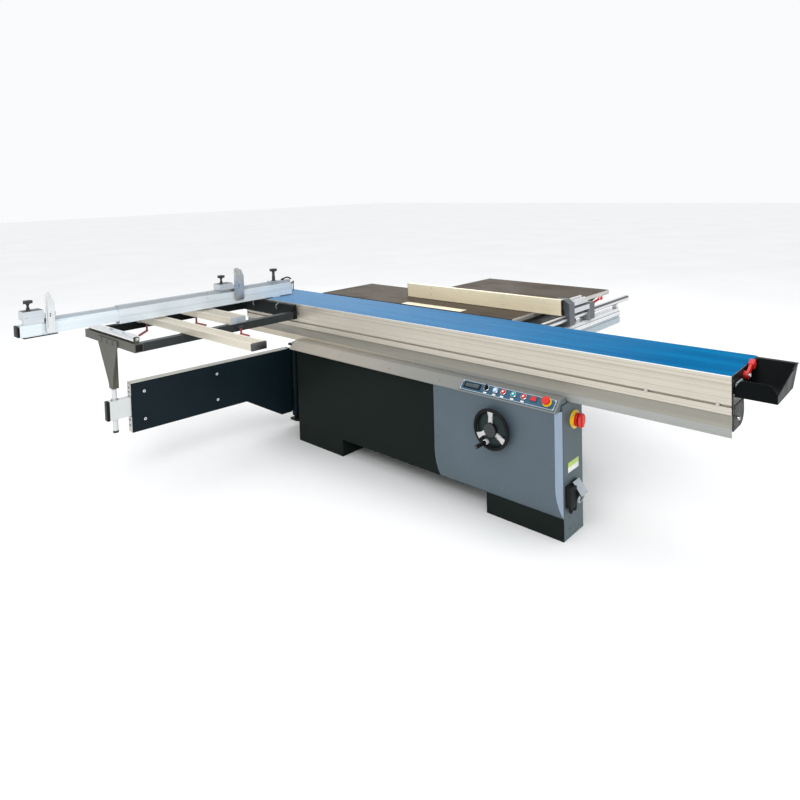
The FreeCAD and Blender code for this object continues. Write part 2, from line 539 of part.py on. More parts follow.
def build_arm():
    """Hinge bracket, swing arm, its bolts, and the telescopic tube with the support post."""
    px, py = PIVOT
    plate = box(px - 32, BASE_LEFT, py + 33, py + 45, 30, 568)
    ears = [box(px - 32, px + 32, py - 24, py + 34, z, z + 14) for z in (36, 550)]
    ribs = [prism_z([(px + 32, py + 33), (BASE_LEFT, py + 33), (px + 32, py - 20)], z, z + 14)
            for z in (36, 550)]
    hinge_rod = rod((px, py, 40), Z_AXIS, ROD_R, 520)
    add("arm_bracket", join([plate, hinge_rod] + ears + ribs))

    reach = math.hypot(POST[0] - px, POST[1] - py)
    turn = math.degrees(math.atan2(POST[0] - px, py - POST[1]))
    half, wall = 25.0, 4.0
    side = [(-ARM_START + 16, HUB_BOTTOM), (-126, HUB_BOTTOM), (-378, ARM_BOTTOM), (-ARM_END, ARM_BOTTOM),
            (-ARM_END, ARM_TOP), (-ARM_START + 16, ARM_TOP)]
    plates = [prism_x(side, x, x + wall) for x in (-half, half - wall)]
    top = box(-half, half, -ARM_END, -ARM_START + 16, ARM_TOP - wall, ARM_TOP)
    back = box(-half, half, -ARM_START + 2, -ARM_START + 16, HUB_BOTTOM, ARM_TOP)
    ends = [box(-half, half, -ARM_END, -ARM_END + 6, TUBE_TOP + 2, ARM_TOP),
            box(-half, half, -ARM_END, -ARM_END + 6, ARM_BOTTOM, TUBE_BOTTOM - 2)]
    guides = [box(-half + wall - 1, half - wall + 1, y0, y0 + 40, z, z + 12)
              for y0 in (-ARM_END + 6, -600) for z in (TUBE_TOP + 2, TUBE_BOTTOM - 14)]
    barrel = rod((0, 0, 72), Z_AXIS, 24, 470)
    neck = box(-12, 12, -ARM_START + 10, -10, HUB_BOTTOM, ARM_TOP - 6)
    arm = join(plates + [top, back, neck, barrel] + ends + guides)
    arm = arm.cut(rod((0, 0, 60), Z_AXIS, ROD_R + PIN_GAP, 500))
    bolts = []
    for y in (-1014, -574):
        for z in (324, 484):
            for sign in (-1, 1):
                bolts.append(Part.makeCylinder(9, 5, V(sign * half, y, z), V(sign, 0, 0)))
    slide = box(-20, 20, -reach - 30, -150, TUBE_BOTTOM, TUBE_TOP)
    hollow = box(-16, 16, -reach - 26, -149, TUBE_BOTTOM + 4, TUBE_TOP - 4)
    post = rod((0, -reach, 285), Z_AXIS, 14, LEG_BOTTOM - 3 - 285)
    cap = box(-20, 20, -reach - 46, -reach - 30, TUBE_BOTTOM, TUBE_TOP)
    tube_shape = group([join([slide.cut(hollow), post]), cap])
    for name, shape in (("arm_box", group([arm] + bolts)), ("arm_tube", tube_shape)):
        shape.rotate(V(0, 0, 0), Z_AXIS, turn)
        shape.translate(V(px, py, 0))
        add(name, shape)


# ---------------------------------------------------------------- cross-cut fence and its stops
def fence_section(inset, lift=0.0):
    """Cross-cut fence section as (x, z) points: a stepped top behind the working face."""
    x0, x1 = FENCE_FACE - inset, FENCE_FACE - 58 + inset
    low, top = FENCE_BOTTOM + inset + lift, FENCE_TOP - inset
    return [(x0, low), (x0, top), (x0 - 20, top), (x0 - 20, top + RIB), (x1, top + RIB), (x1, low)]


def build_crosscut():
    """Cross-cut fence, its swivel clamp, and the telescopic extension with its end block."""
    body = prism_y(fence_section(0), FENCE_LEFT, FENCE_RIGHT)
    bore = prism_y(fence_section(4), FENCE_LEFT - 1, FENCE_RIGHT - 4)
    scale_slot = box(FENCE_FACE - 34, FENCE_FACE - 27, FENCE_LEFT - 1, FENCE_RIGHT + 1, 969, 973)
    face_slot = box(FENCE_FACE - 2, FENCE_FACE + 1, FENCE_LEFT - 1, FENCE_RIGHT + 1, 906, 912)
    pad = box(FENCE_FACE - 52, FENCE_FACE - 6, FENCE_PIVOT_Y - 40, FENCE_PIVOT_Y + 26, 972, 978)
    foot = box(FENCE_FACE - 56, FENCE_FACE - 2, FENCE_PIVOT_Y - 30, FENCE_PIVOT_Y + 30,
               TABLE_Z + 0.6, FENCE_BOTTOM)
    add("crosscut_fence", join([carve(body, [bore, scale_slot, face_slot]), pad, foot]))
    add("swivel_knob", star_knob(FENCE_FACE - 29, FENCE_PIVOT_Y, 978.4, 26, 16, 66, 9))

    bar = prism_y(fence_section(4.6, 10), EXTENSION_LEFT + 109, FENCE_LEFT + 420)
    hollow = prism_y(fence_section(8, 10), EXTENSION_LEFT + 108, FENCE_LEFT + 421)
    block = box(FENCE_FACE - 64, FENCE_FACE + 4, EXTENSION_LEFT + 12, EXTENSION_LEFT + 110, 887, BLOCK_TOP)
    cap = box(FENCE_FACE - 62, FENCE_FACE + 2, EXTENSION_LEFT, EXTENSION_LEFT + 12, 892, BLOCK_TOP - 3)
    strip = box(FENCE_FACE - 52, FENCE_FACE + 2, EXTENSION_LEFT + 26, EXTENSION_LEFT + 181, 882, 888)
    block = block.cut(box(FENCE_FACE - 70, FENCE_FACE + 10, EXTENSION_LEFT + 11, EXTENSION_LEFT + 111, 880, 888))
    add("fence_extension", join([bar.cut(hollow), block, cap, strip]))


def build_stop(index, y, seat, top, blade_start, blade_end):
    """Flip stop: a slider on the fence's rib, its clamp knob, and the flip-up blade."""
    x, rib = STOP_X, FENCE_TOP + RIB
    body = box(x - 40, x + 34, y - STOP_BACK, y + STOP_FRONT, max(seat, rib) + GAP, top)
    if seat < rib:
        skirt = box(x + 11, x + 34, y - STOP_BACK, y + STOP_FRONT, seat + GAP, rib + GAP)
        body = join([body, skirt])
    hinge_x, hinge_z = x + 22, rib + 14
    ears = [box(hinge_x - 12, hinge_x + 12, y0, y0 + 6, rib + GAP, rib + 28)
            for y0 in (blade_start - 6.5, blade_end + 0.5)]
    link = box(x - 20, x + 11, y + STOP_FRONT - 8, blade_end + 6.5, rib + GAP, rib + 10)
    hinge = rod((hinge_x, blade_start - 6.5, hinge_z), Y_AXIS, 6, blade_end - blade_start + 13)
    add(f"stop_slider_{index}", join([body, hinge, link] + ears))

    low, high, round_end = 892.0, 1107.0, 14.0
    side = [(blade_start + 6, low), (blade_end - 6, low), (blade_end, low + round_end),
            (blade_end, high - 58), (blade_end - 16, high - 18), (blade_start + 18, high),
            (blade_start, high - 8), (blade_start, low + round_end)]
    blade = prism_x(side, x + 37, x + 41)
    knuckle = rod((hinge_x, blade_start, hinge_z), Y_AXIS, 11, blade_end - blade_start)
    web = box(hinge_x, x + 38, blade_start, blade_end, hinge_z - 9, hinge_z + 9)
    bore = rod((hinge_x, blade_start - 10, hinge_z), Y_AXIS, 6 + PIN_GAP, blade_end - blade_start + 20)
    add(f"stop_blade_{index}", join([blade, knuckle, web]).cut(bore))
    add(f"stop_knob_{index}", star_knob(x - 3, y - 4, top + GAP, 23, 15, 38, 6))


# ---------------------------------------------------------------- fixed tables and rip fence
def build_tables():
    """Cast main table with ribs and spindle pocket, and the extension table beside it."""
    low = TABLE_Z - TABLE_DEPTH
    left, right, far = ARBOR_POCKET
    table = box(MAIN_LEFT, MAIN_RIGHT, MAIN_NEAR, MAIN_FAR, low, TABLE_Z)
    pocket = box(MAIN_LEFT + 12, MAIN_RIGHT - 12, MAIN_NEAR + 12, MAIN_FAR - 12, low - 1, TABLE_Z - 15)
    ribs = [box(x, x + 10, MAIN_NEAR + 6, MAIN_FAR - 6, low + 4, TABLE_Z - 10)
            for x in (-2540, -2310, -2100, -1560, -1340)]
    spindle = box(left, right, MAIN_NEAR - 1, far, low - 1, TABLE_Z - 8)
    rim = box(left + 10, right - 10, MAIN_NEAR + 10, far - 20, TABLE_Z - 1.5, TABLE_Z + 1)
    insert = box(left + 12.5, right - 12.5, MAIN_NEAR + 7, far - 22.5, TABLE_Z - 2, TABLE_Z + 2)
    table = join([table.cut(pocket)] + ribs)
    add("main_table", carve(table, [spindle, rim.cut(insert)]))

    ext = box(EXT_LEFT, EXT_RIGHT, EXT_NEAR, EXT_FAR, low + 12, TABLE_Z)
    hollow = box(EXT_LEFT + 6, EXT_RIGHT - 6, EXT_NEAR + 6, EXT_FAR - 6, low + 11, TABLE_Z - 6)
    beams = [box(x, x + 8, EXT_NEAR + 3, EXT_FAR - 3, low + 14, TABLE_Z - 4) for x in (-1960, -1720, -1470)]
    add("extension_table", join([ext.cut(hollow)] + beams))


def build_table_brackets():
    """Painted steel arms under the extension table, and the angle that carries the rail."""
    under_main, under_ext, tip = TABLE_Z - TABLE_DEPTH - GAP, TABLE_Z - 28, EXT_FAR - 40
    arms = []
    for x in (-2150, -1300):
        web = prism_x([(BASE_BACK, 640), (BASE_BACK, under_main), (EXT_NEAR, under_main),
                       (EXT_NEAR, under_ext), (tip, under_ext), (tip, under_ext - 28)], x, x + 8)
        arms.append(join([web, box(x - 20, x + 28, EXT_NEAR, tip, under_ext - 6, under_ext)]))
    top = box(MAIN_RIGHT + 1, RAIL_BACK, MAIN_NEAR + 20, 852, HIGH_TOP, HIGH_TOP + 6)
    drop = box(BASE_RIGHT, RAIL_BACK, MAIN_NEAR + 20, 852, 690, HIGH_TOP + 6)
    add("table_brackets", group(arms + [join([top, drop])]))


def build_rip_rail():
    """Extruded rail across the tables' ends with its stand-off blocks, and the round bar."""
    back, front = RAIL_BACK, BAR_X + 24
    section = [(back, 700), (front - 12, 700), (front, 712), (front, 742), (front - 6, 746), (front - 6, 752),
               (front, 756), (front, 786), (front - 10, 798), (back, 798)]
    rail = prism_y(section, BAR_START, 1318)
    bore = prism_y([(back + 6, 708), (front - 16, 708), (front - 10, 716), (front - 10, 784),
                    (front - 16, 790), (back + 6, 790)], BAR_START - 1, 1319)
    posts = [box(BAR_X - 14, BAR_X + 14, y, y + 26, 797, BAR_Z - BAR_R + 4) for y in (BAR_START, 1290)]
    posts = [post.cut(rod((BAR_X, 0, BAR_Z), Y_AXIS, BAR_R, 2000)) for post in posts]
    add("fence_rail", join([rail.cut(bore)] + posts))
    bar = rod((BAR_X, BAR_START, BAR_Z), Y_AXIS, BAR_R, BAR_END - BAR_START)
    add("fence_bar", bar.makeChamfer(2, [bar.Edges[0], bar.Edges[2]]))


def build_rip_fence():
    """Rip fence profile, the carrier that rides on the bar, and its clamp lever."""
    section = [(RIP_FACE_Y, TABLE_Z + 1.5), (RIP_FACE_Y, 955), (RIP_FACE_Y + 26, 955),
               (RIP_FACE_Y + 26, 926), (RIP_FACE_Y + 32, 920), (RIP_FACE_Y + 32, 890),
               (RIP_FACE_Y + 26, 884), (RIP_FACE_Y + 26, TABLE_Z + 1.5)]
    fence = prism_x(section, RIP_LEFT, RIP_RIGHT)
    bore = prism_x([(RIP_FACE_Y + 4, TABLE_Z + 6), (RIP_FACE_Y + 4, 951), (RIP_FACE_Y + 22, 951),
                    (RIP_FACE_Y + 22, TABLE_Z + 6)], RIP_LEFT - 1, RIP_RIGHT + 1)
    slot = box(RIP_LEFT - 1, RIP_RIGHT + 1, RIP_FACE_Y + 26.5, RIP_FACE_Y + 33, 901, 909)
    add("rip_fence", carve(fence, [bore, slot]))

    y0, y1 = RIP_FACE_Y + 33, RIP_FACE_Y + 340
    side = prism_y([(-1112, 868), (-1112, 950), (-1050, 952), (-1018, 930), (-1016, 806), (-1034, 801),
                    (-1082, 801), (-1086, 866.5)], y0, y0 + 60)
    spine = box(-1088, -1020, y0 + 40, y1 - 40, 868, 900)
    tail = box(-1086, -1018, y1 - 60, y1, 802, 902)
    blocks = [box(-1080, -1026, y0 + 66, y1 - 70, 906, 932), box(-1060, -1030, y0 + 60, y1 - 100, 898, 906)]
    bore = rod((BAR_X, 0, BAR_Z), Y_AXIS, BAR_R + 0.08, 2000)
    add("fence_carrier", join([side, spine, tail] + blocks).cut(bore))
    hub = rod((-1040, y1 + 0.4, 884), Y_AXIS, 14, 20)
    handle = box(-1046, -1034, y1 + 4, y1 + 16, 884, 948)
    ball = Part.makeSphere(13, V(-1040, y1 + 10, 952))
    lever = join([hub, handle, ball])
    lever.rotate(V(-1040, y1, 884), Y_AXIS, 55)
    add("carrier_lever", lever)


# ---------------------------------------------------------------- tilting saw unit
def build_saw_unit():
    """Tilting frame, rising saw head with motor and blade, scoring blade and riving knife."""
    start, middle, stop = (on_circle(TRUNNION_R, degrees) for degrees in (3.5, 16, 29))
    side = outline([[start, middle, stop], [stop, (stop[0], 800)], [(stop[0], 800), (start[0], 800)],
                    [(start[0], 800), start]])
    plates = []
    for x in TRUNNION_X:
        plate = side.copy()
        plate.translate(V(x, 0, 0))
        plates.append(plate.extrude(V(TRUNNION_T, 0, 0)).cut(rod((x - 1, 476, 690), X_AXIS, 34, 20)))
    left, right = TRUNNION_X[0] + 2, TRUNNION_X[1] + TRUNNION_T - 2
    ties = [box(left, right, 530, stop[0], z, z + 28) for z in (592, 762)]
    ties += [box(x, x + 20, 512.4, 532, 592, 790) for x in (-2030, -1790)]
    score_arm = join([rod((SCORE_X, 384, SCORE_Z), Y_AXIS, 18, 60),
                      box(SCORE_X - 12, TRUNNION_X[1] + 2, 420, 440, 780, 799)])
    score_arm = score_arm.cut(rod((SCORE_X, 370, SCORE_Z), Y_AXIS, 8 + PIN_GAP, 90))
    add("tilt_frame", join(plates + ties + [score_arm]))

    slide = box(-2050, -1740, 496, 512, 290, 718)
    knife_arm = box(-2108, -2040, 496, 512, 560, 600)
    window = rod((BLADE_X, 480, MOTOR_Z), Y_AXIS, 22, 50)
    barrels = [rod((BLADE_X, y0, BLADE_Z), Y_AXIS, 33, y1 - y0) for y0, y1 in ((392, 436), (476, 504))]
    cheek = box(BLADE_X, BLADE_X + 62, 416, 436, BLADE_Z - 30, BLADE_Z + 20)
    bridge = box(BLADE_X + 46, BLADE_X + 62, 416, 500, BLADE_Z - 30, BLADE_Z + 20)
    head = join([slide, knife_arm, cheek, bridge] + barrels).cut(window)
    add("saw_head", head.cut(rod((BLADE_X, 360, BLADE_Z), Y_AXIS, 12.5 + PIN_GAP, 160)))

    fins = [rod((BLADE_X, 530 + 22 * i, MOTOR_Z), Y_AXIS, MOTOR_R, 12) for i in range(8)]
    core = rod((BLADE_X, 512, MOTOR_Z), Y_AXIS, MOTOR_R - 8, 222)
    terminal_box = box(BLADE_X - 45, BLADE_X + 45, 580, 680, MOTOR_Z + 70, MOTOR_Z + 108)
    bore = rod((BLADE_X, 511, MOTOR_Z), Y_AXIS, 14 + PIN_GAP, 61)
    add("main_motor", join([core, terminal_box] + fins).cut(bore))
    shaft = rod((BLADE_X, 430, MOTOR_Z), Y_AXIS, 14, 140)
    pulley = rod((BLADE_X, 438, MOTOR_Z), Y_AXIS, MOTOR_PULLEY_R, 34)
    add("motor_pulley", join([shaft, pulley]))

    add("saw_blade", toothed_disc(BLADE_X, BLADE_Z, BLADE_R, 40, spindle=True))
    add("scoring_blade", toothed_disc(SCORE_X, SCORE_Z, SCORE_R, 24, spindle=False))

    inner = (MOTOR_PULLEY_R + GAP, BLADE_PULLEY_R + GAP)
    outer = (inner[0] + BELT_T, inner[1] + BELT_T)
    add("drive_belt", belt_loop(*outer).cut(belt_loop(*inner)))

    knife = prism_x([(BLADE_Y - 1.2, 560), (BLADE_Y + 1.2, 560), (BLADE_Y + 1.2, 846),
                     (BLADE_Y - 1.2, 846)], -2104, -2060)
    knife = knife.cut(rod((BLADE_X, 360, BLADE_Z + 4), Y_AXIS, BLADE_R + 12, 30))
    arm = box(-2104, -2084, BLADE_Y + 1.2, 496, 562, 592)
    add("riving_knife", join([knife, arm]))


def toothed_disc(x, z, radius, teeth, spindle):
    """Circular saw blade with square gullets, flanges and its own spindle."""
    y0 = BLADE_Y - BLADE_T / 2
    disc = rod((x, y0, z), Y_AXIS, radius, BLADE_T)
    gullets = []
    for index in range(teeth):
        notch = box(x - 2.5, x + 2.5, y0 - 1, y0 + BLADE_T + 1, z + radius - 7, z + radius + 2)
        notch.rotate(V(x, y0, z), Y_AXIS, index * 360.0 / teeth)
        gullets.append(notch)
    disc = disc.cut(Part.makeCompound(gullets))
    flange = 30.0 if spindle else 20.0
    pieces = [disc, rod((x, y0 - 5, z), Y_AXIS, flange, 5), rod((x, y0 - 9, z), Y_AXIS, flange / 3, 5),
              rod((x, y0 + BLADE_T, z), Y_AXIS, flange, 5)]
    if spindle:
        pieces += [rod((x, y0, z), Y_AXIS, 12.5, 132), rod((x, 438, z), Y_AXIS, BLADE_PULLEY_R, 34)]
    else:
        pieces.append(rod((x, y0, z), Y_AXIS, 8, 80))
    return join(pieces)


def belt_loop(low_radius, high_radius):
    """Racetrack block around the motor pulley and the spindle, for the flat belt."""
    y0, y1 = 442.0, 470.0
    low, high = MOTOR_Z, BLADE_Z
    sine = (low_radius - high_radius) / (high - low)
    cosine = math.sqrt(1 - sine * sine)
    quad = prism_y([(BLADE_X - low_radius * cosine, low + low_radius * sine),
                    (BLADE_X + low_radius * cosine, low + low_radius * sine),
                    (BLADE_X + high_radius * cosine, high + high_radius * sine),
                    (BLADE_X - high_radius * cosine, high + high_radius * sine)], y0, y1)
    return join([quad, rod((BLADE_X, y0, low), Y_AXIS, low_radius, y1 - y0),
                 rod((BLADE_X, y0, high), Y_AXIS, high_radius, y1 - y0)])


def build_handwheel():
    """Handwheel with three spokes on its shaft, and its revolving handle."""
    rim = Part.makeTorus(WHEEL_R - 9, 9, V(WHEEL_X, WHEEL_Y, WHEEL_Z), Y_AXIS)
    hub = rod((WHEEL_X, WHEEL_Y - 12, WHEEL_Z), Y_AXIS, 33, 30)
    shaft = rod((WHEEL_X, WHEEL_Y + 10, WHEEL_Z), Y_AXIS, 10, 190)
    spokes = []
    for turn in (0, 120, 240):
        spoke = box(WHEEL_X - 9, WHEEL_X + 9, WHEEL_Y - 5, WHEEL_Y + 5, WHEEL_Z + 25, WHEEL_Z + 88)
        spoke.rotate(V(WHEEL_X, WHEEL_Y, WHEEL_Z), Y_AXIS, turn)
        spokes.append(spoke)
    angle = math.radians(245)
    hx = WHEEL_X + 72 * math.cos(angle)
    hz = WHEEL_Z + 72 * math.sin(angle)
    boss = rod((hx, WHEEL_Y - 8, hz), Y_AXIS, 13, 16)
    pin = rod((hx, WHEEL_Y - 84, hz), Y_AXIS, 4, 80)
    add("handwheel", join([rim, hub, shaft, boss, pin] + spokes))
    grip = rod((hx, WHEEL_Y - 82, hz), Y_AXIS, 9.5, 73)
    grip = grip.makeFillet(3, [grip.Edges[0], grip.Edges[2]])
    add("handwheel_handle", grip.cut(rod((hx, WHEEL_Y - 90, hz), Y_AXIS, 4 + PIN_GAP, 90)))


# ---------------------------------------------------------------- build and write
def main():
    """Build every sub-part, move it into the machine's own frame and write its STEP file."""
    build_base()
    build_panels()
    build_cover()
    build_cabinet()
    build_hood()
    build_console()
    build_isolator()
    build_inlet()
    build_beam()
    build_carriage()
    build_tray()
    build_lock_lever()
    build_roller_cage()
    build_outrigger()
    build_outrigger_clamps()
    build_arm()
    build_crosscut()
    build_stop(1, STOP_1_Y, BLOCK_TOP, 1017.0, -1381.0, -1338.0)
    build_stop(2, STOP_2_Y, FENCE_TOP + RIB, 1010.0, -261.0, -190.0)
    build_tables()
    build_table_brackets()
    build_rip_rail()
    build_rip_fence()
    build_saw_unit()
    build_handwheel()

    os.makedirs("parts", exist_ok=True)
    for name, shape in NODES.items():
        shape.translate(SHIFT)
        shape.exportStep(f"parts/{name}.step")
        print(f"{name}: {len(shape.Solids)} solid(s), valid {shape.isValid()}")
    print(f"{len(NODES)} sub-parts, shift {SHIFT.x:.1f} {SHIFT.y:.1f}")


main()
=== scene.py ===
"""Looks of a sliding-table panel saw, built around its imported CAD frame. Metres, +Z up."""
import json
import math
import bmesh
import bpy
from mathutils import Matrix, Vector


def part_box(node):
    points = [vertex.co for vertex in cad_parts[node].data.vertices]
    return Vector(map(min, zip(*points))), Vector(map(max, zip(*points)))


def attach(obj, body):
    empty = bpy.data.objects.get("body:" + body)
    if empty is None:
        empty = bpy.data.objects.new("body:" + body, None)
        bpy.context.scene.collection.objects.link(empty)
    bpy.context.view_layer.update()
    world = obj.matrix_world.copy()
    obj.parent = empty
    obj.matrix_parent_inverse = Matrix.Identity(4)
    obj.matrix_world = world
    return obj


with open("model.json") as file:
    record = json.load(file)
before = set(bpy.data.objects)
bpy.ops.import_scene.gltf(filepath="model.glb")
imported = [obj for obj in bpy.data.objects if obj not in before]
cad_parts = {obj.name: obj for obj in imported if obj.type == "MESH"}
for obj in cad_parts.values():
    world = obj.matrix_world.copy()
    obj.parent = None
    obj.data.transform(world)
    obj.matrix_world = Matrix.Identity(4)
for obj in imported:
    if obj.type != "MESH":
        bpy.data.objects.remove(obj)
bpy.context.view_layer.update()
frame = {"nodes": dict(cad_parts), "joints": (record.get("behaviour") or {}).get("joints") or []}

NODES = frame["nodes"]
JOINTS = {joint["name"]: joint for joint in frame["joints"]}
X, Y, Z = Vector((1, 0, 0)), Vector((0, 1, 0)), Vector((0, 0, 1))
MM = 0.001
SMOOTH_ANGLE = math.radians(38)


def low(node):
    """Lowest corner of a CAD node at rest."""
    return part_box(node)[0]


def high(node):
    """Highest corner of a CAD node at rest."""
    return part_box(node)[1]


def middle(node):
    """Middle of a CAD node's box at rest."""
    return (low(node) + high(node)) / 2


def joint_point(name):
    """A point on a hinge's axis."""
    return Vector(JOINTS[name]["pos_m"])


# ---- material building blocks
class Shade:
    """A new material with its shader, and short calls for the nodes that feed it."""

    def __init__(self, name, color, roughness, metallic=0.0):
        self.material = bpy.data.materials.new(name)
        self.material.use_nodes = True
        self.tree = self.material.node_tree
        self.shader = self.tree.nodes["Principled BSDF"]
        self.put("Base Color", (*color, 1.0))
        self.put("Roughness", roughness)
        self.put("Metallic", metallic)
        self.material.diffuse_color = (*color, 1.0)
        self.place = self.node("ShaderNodeTexCoord").outputs["Object"]
        self.normal = None

    def node(self, kind, feeds=None, **settings):
        """Add a node; feeds gives its sockets plain values or other sockets' outputs."""
        made = self.tree.nodes.new(kind)
        for key, value in settings.items():
            setattr(made, key, value)
        for socket, value in (feeds or {}).items():
            self.feed(made, socket, value)
        return made

    def put(self, socket, value):
        """Set a shader socket to a number or colour."""
        self.shader.inputs[socket].default_value = value

    def feed(self, node, socket, value):
        """Give a node's socket a plain value or another socket's output."""
        if isinstance(value, bpy.types.NodeSocket):
            self.tree.links.new(value, node.inputs[socket])
        else:
            node.inputs[socket].default_value = value

    def noise(self, scale, detail=4.0, stretch=(1, 1, 1), rough=0.55):
        place = self.node("ShaderNodeMapping", {"Vector": self.place, "Scale": stretch}).outputs["Vector"]
        return self.node("ShaderNodeTexNoise", {"Vector": place, "Scale": scale, "Detail": detail,
            "Roughness": rough}).outputs["Fac"]

    def part(self, vector, index):
        return self.node("ShaderNodeSeparateXYZ", {"Vector": vector}).outputs[index]

    def axis(self, index):
        """One coordinate of the place on the object."""
        return self.part(self.place, index)

    def facing(self, index):
        """How far a face looks along an axis."""
        return self.part(self.node("ShaderNodeNewGeometry").outputs["True Normal"], index)

    def math(self, operation, a, b=0.0, clamp=False):
        return self.node("ShaderNodeMath", {0: a, 1: b}, operation=operation, use_clamp=clamp).outputs[0]

    def spread(self, value, start, end, low_value=0.0, high_value=1.0):
        """Stretch a value range onto another, clamped."""
        return self.node("ShaderNodeMapRange", {"Value": value, "From Min": start, "From Max": end,
            "To Min": low_value, "To Max": high_value}).outputs["Result"]

    def mix(self, factor, first, second):
        made = self.node("ShaderNodeMix", {0: factor}, data_type="RGBA")
        for socket, value in ((6, first), (7, second)):
            self.feed(made, socket, (*value, 1.0) if isinstance(value, tuple) else value)
        return made.outputs[2]

    def layer(self, base, other, pattern, start, end, most=1.0):
        """Lay another colour over a base as a pattern goes from start to end, up to a given share."""
        return self.mix(self.spread(pattern, start, end, 0.0, most), base, other)

    def drift(self, base, fading):
        """Paint a sheen, a colour that changes slowly along X; the triple gives the start, the end, and the
        colour there.
        """
        start, end, other = fading
        return self.layer(base, other, self.axis(0), start, end)

    def shaded(self, pattern, color, dark, light):
        """Let a pattern move a colour between a darker and a lighter share of itself."""
        return self.layer(scaled(color, dark), scaled(color, light), pattern, 0.3, 0.7)

    def bump(self, height, distance, strength=1.0):
        feeds = {"Height": height, "Distance": distance, "Strength": strength}
        if self.normal is not None:
            feeds["Normal"] = self.normal
        self.normal = self.node("ShaderNodeBump", feeds).outputs["Normal"]
        self.feed(self.shader, "Normal", self.normal)

    def exposed_edges(self, radius):
        """Near 1 on outer edges, from how far a rounded normal leans from the flat one."""
        self.normal = self.node("ShaderNodeBevel", {"Radius": radius}, samples=4).outputs["Normal"]
        self.feed(self.shader, "Normal", self.normal)
        flat = self.node("ShaderNodeNewGeometry").outputs["Normal"]
        dot = self.node("ShaderNodeVectorMath", {0: self.normal, 1: flat}, operation="DOT_PRODUCT")
        return self.spread(dot.outputs["Value"], 0.97, 0.80)

    def color(self, value):
        self.feed(self.shader, "Base Color", value)

    def roughness(self, pattern, first, last, start=0.3, end=0.7):
        """Move the roughness from its first value to its last as a pattern goes from start to end."""
        self.feed(self.shader, "Roughness", self.spread(pattern, start, end, first, last))


def scaled(color, factor):
    """A colour made lighter or darker."""
    return tuple(min(1.0, channel * factor) for channel in color)


def paint(name, color, roughness=0.42, grain=650.0, depth=0.00012, wear=(0.45, 0.45, 0.43), worn=0.35,
        edge=0.0015, leaning=None, gloss=0.35, fading=None, cheek=None):
    """Powder coat: orange peel, cloudy gloss, a little dust low down and rubbed edges.

    The chamfer colour is a painted highlight on faces that look steeply sideways and slightly forward,
    as on a bevelled corner; cheek is a darker colour, painted shade on faces that look straight along +X.
    """
    shade = Shade(name, color, roughness)
    shade.put("Specular IOR Level", gloss)
    edges = shade.exposed_edges(edge)
    clouds = shade.noise(2.6, 5.0)
    specks = shade.noise(90.0, 3.0)
    base = shade.shaded(clouds, color, 0.90, 1.10)
    # Painted sheen: the colour changes slowly along X, as reflection changes along the length.
    if fading:
        base = shade.drift(base, fading)
    dust = shade.math("MULTIPLY", shade.spread(shade.axis(2), 0.30, 0.0), shade.spread(specks, 0.45, 0.75))
    dusty = tuple(1.5 * channel + 0.002 for channel in color)
    base = shade.mix(shade.math("MULTIPLY", dust, 0.5), base, dusty)
    # Painted highlight: faces that look steeply sideways and slightly forward, such as a chamfer, take a
    # lighter colour.
    if leaning:
        side = shade.math("MULTIPLY", shade.spread(shade.facing(0), 0.70, 0.76),
            shade.spread(shade.facing(1), -0.15, -0.25))
        base = shade.mix(side, base, leaning)
    # Painted shade: faces that look straight along +X, such as the hood's end, take a darker colour.
    if cheek:
        base = shade.layer(base, cheek, shade.facing(0), 0.95, 0.99)
    chips = shade.math("MULTIPLY", edges, shade.spread(specks, 0.50, 0.62))
    shade.color(shade.mix(shade.math("MULTIPLY", chips, worn), base, wear))
    shade.roughness(clouds, roughness - 0.06, roughness + 0.10)
    shade.bump(shade.noise(grain, 2.0), depth, 0.6)
    return shade.material


def extrusion(name, color, axis, roughness=0.34, metallic=0.75, above=None, bands=(), fading=None):
    """Anodised extrusion: fine die lines along one axis, faint bands and rubbed marks.

    above is a height and the colour that the section has over it; bands are (low, high, colour) strips;
    both can hold painted highlight and painted shade as well as the section's own colours.
    """
    shade = Shade(name, color, roughness, metallic)
    shade.exposed_edges(0.0007)
    along = tuple(0.35 if index == axis else 260.0 for index in range(3))
    broad = tuple(0.15 if index == axis else 28.0 for index in range(3))
    lines = shade.noise(1.0, 2.0, along)
    streaks = shade.noise(1.0, 2.0, broad)
    marks = shade.noise(14.0, 4.0)
    tone = shade.shaded(lines, color, 0.92, 1.08)
    tone = shade.layer(tone, scaled(color, 0.84), streaks, 0.35, 0.65, 0.35)
    # Painted sheen: the colour changes slowly along X, as reflection changes along the length.
    if fading:
        tone = shade.drift(tone, fading)
    if above:
        height, other = above
        second = shade.shaded(lines, other, 0.88, 1.10)
        tone = shade.layer(tone, second, shade.axis(2), height - 0.5 * MM, height + 0.5 * MM)
    # On the beam and the fence bar these strips are painted shade and painted reflection.
    for bottom, top, other in bands:
        tone = shade.mix(within(shade, 2, bottom, top), tone, other)
    tone = shade.layer(tone, scaled(color, 0.72), marks, 0.62, 0.80, 0.10)
    shade.color(tone)
    shade.roughness(marks, roughness - 0.07, roughness + 0.12)
    shade.bump(lines, 0.00010, 0.5)
    return shade.material


def metal(name, color, roughness=0.25, axis=None, metallic=1.0, depth=0.00006):
    """Machined steel: turning or grinding marks, oil film and small scratches."""
    shade = Shade(name, color, roughness, metallic)
    shade.exposed_edges(0.0008)
    stretch = (60, 60, 60) if axis is None else tuple(2.0 if index == axis else 420.0 for index in range(3))
    marks = shade.noise(1.0 if axis is not None else 6.0, 3.0, stretch)
    oil = shade.noise(9.0, 4.0)
    tone = shade.shaded(marks, color, 0.84, 1.08)
    shade.color(shade.layer(tone, (0.30, 0.25, 0.18), oil, 0.55, 0.8, 0.25))
    shade.roughness(oil, roughness - 0.08, roughness + 0.12)
    shade.bump(marks, depth, 0.5)
    return shade.material


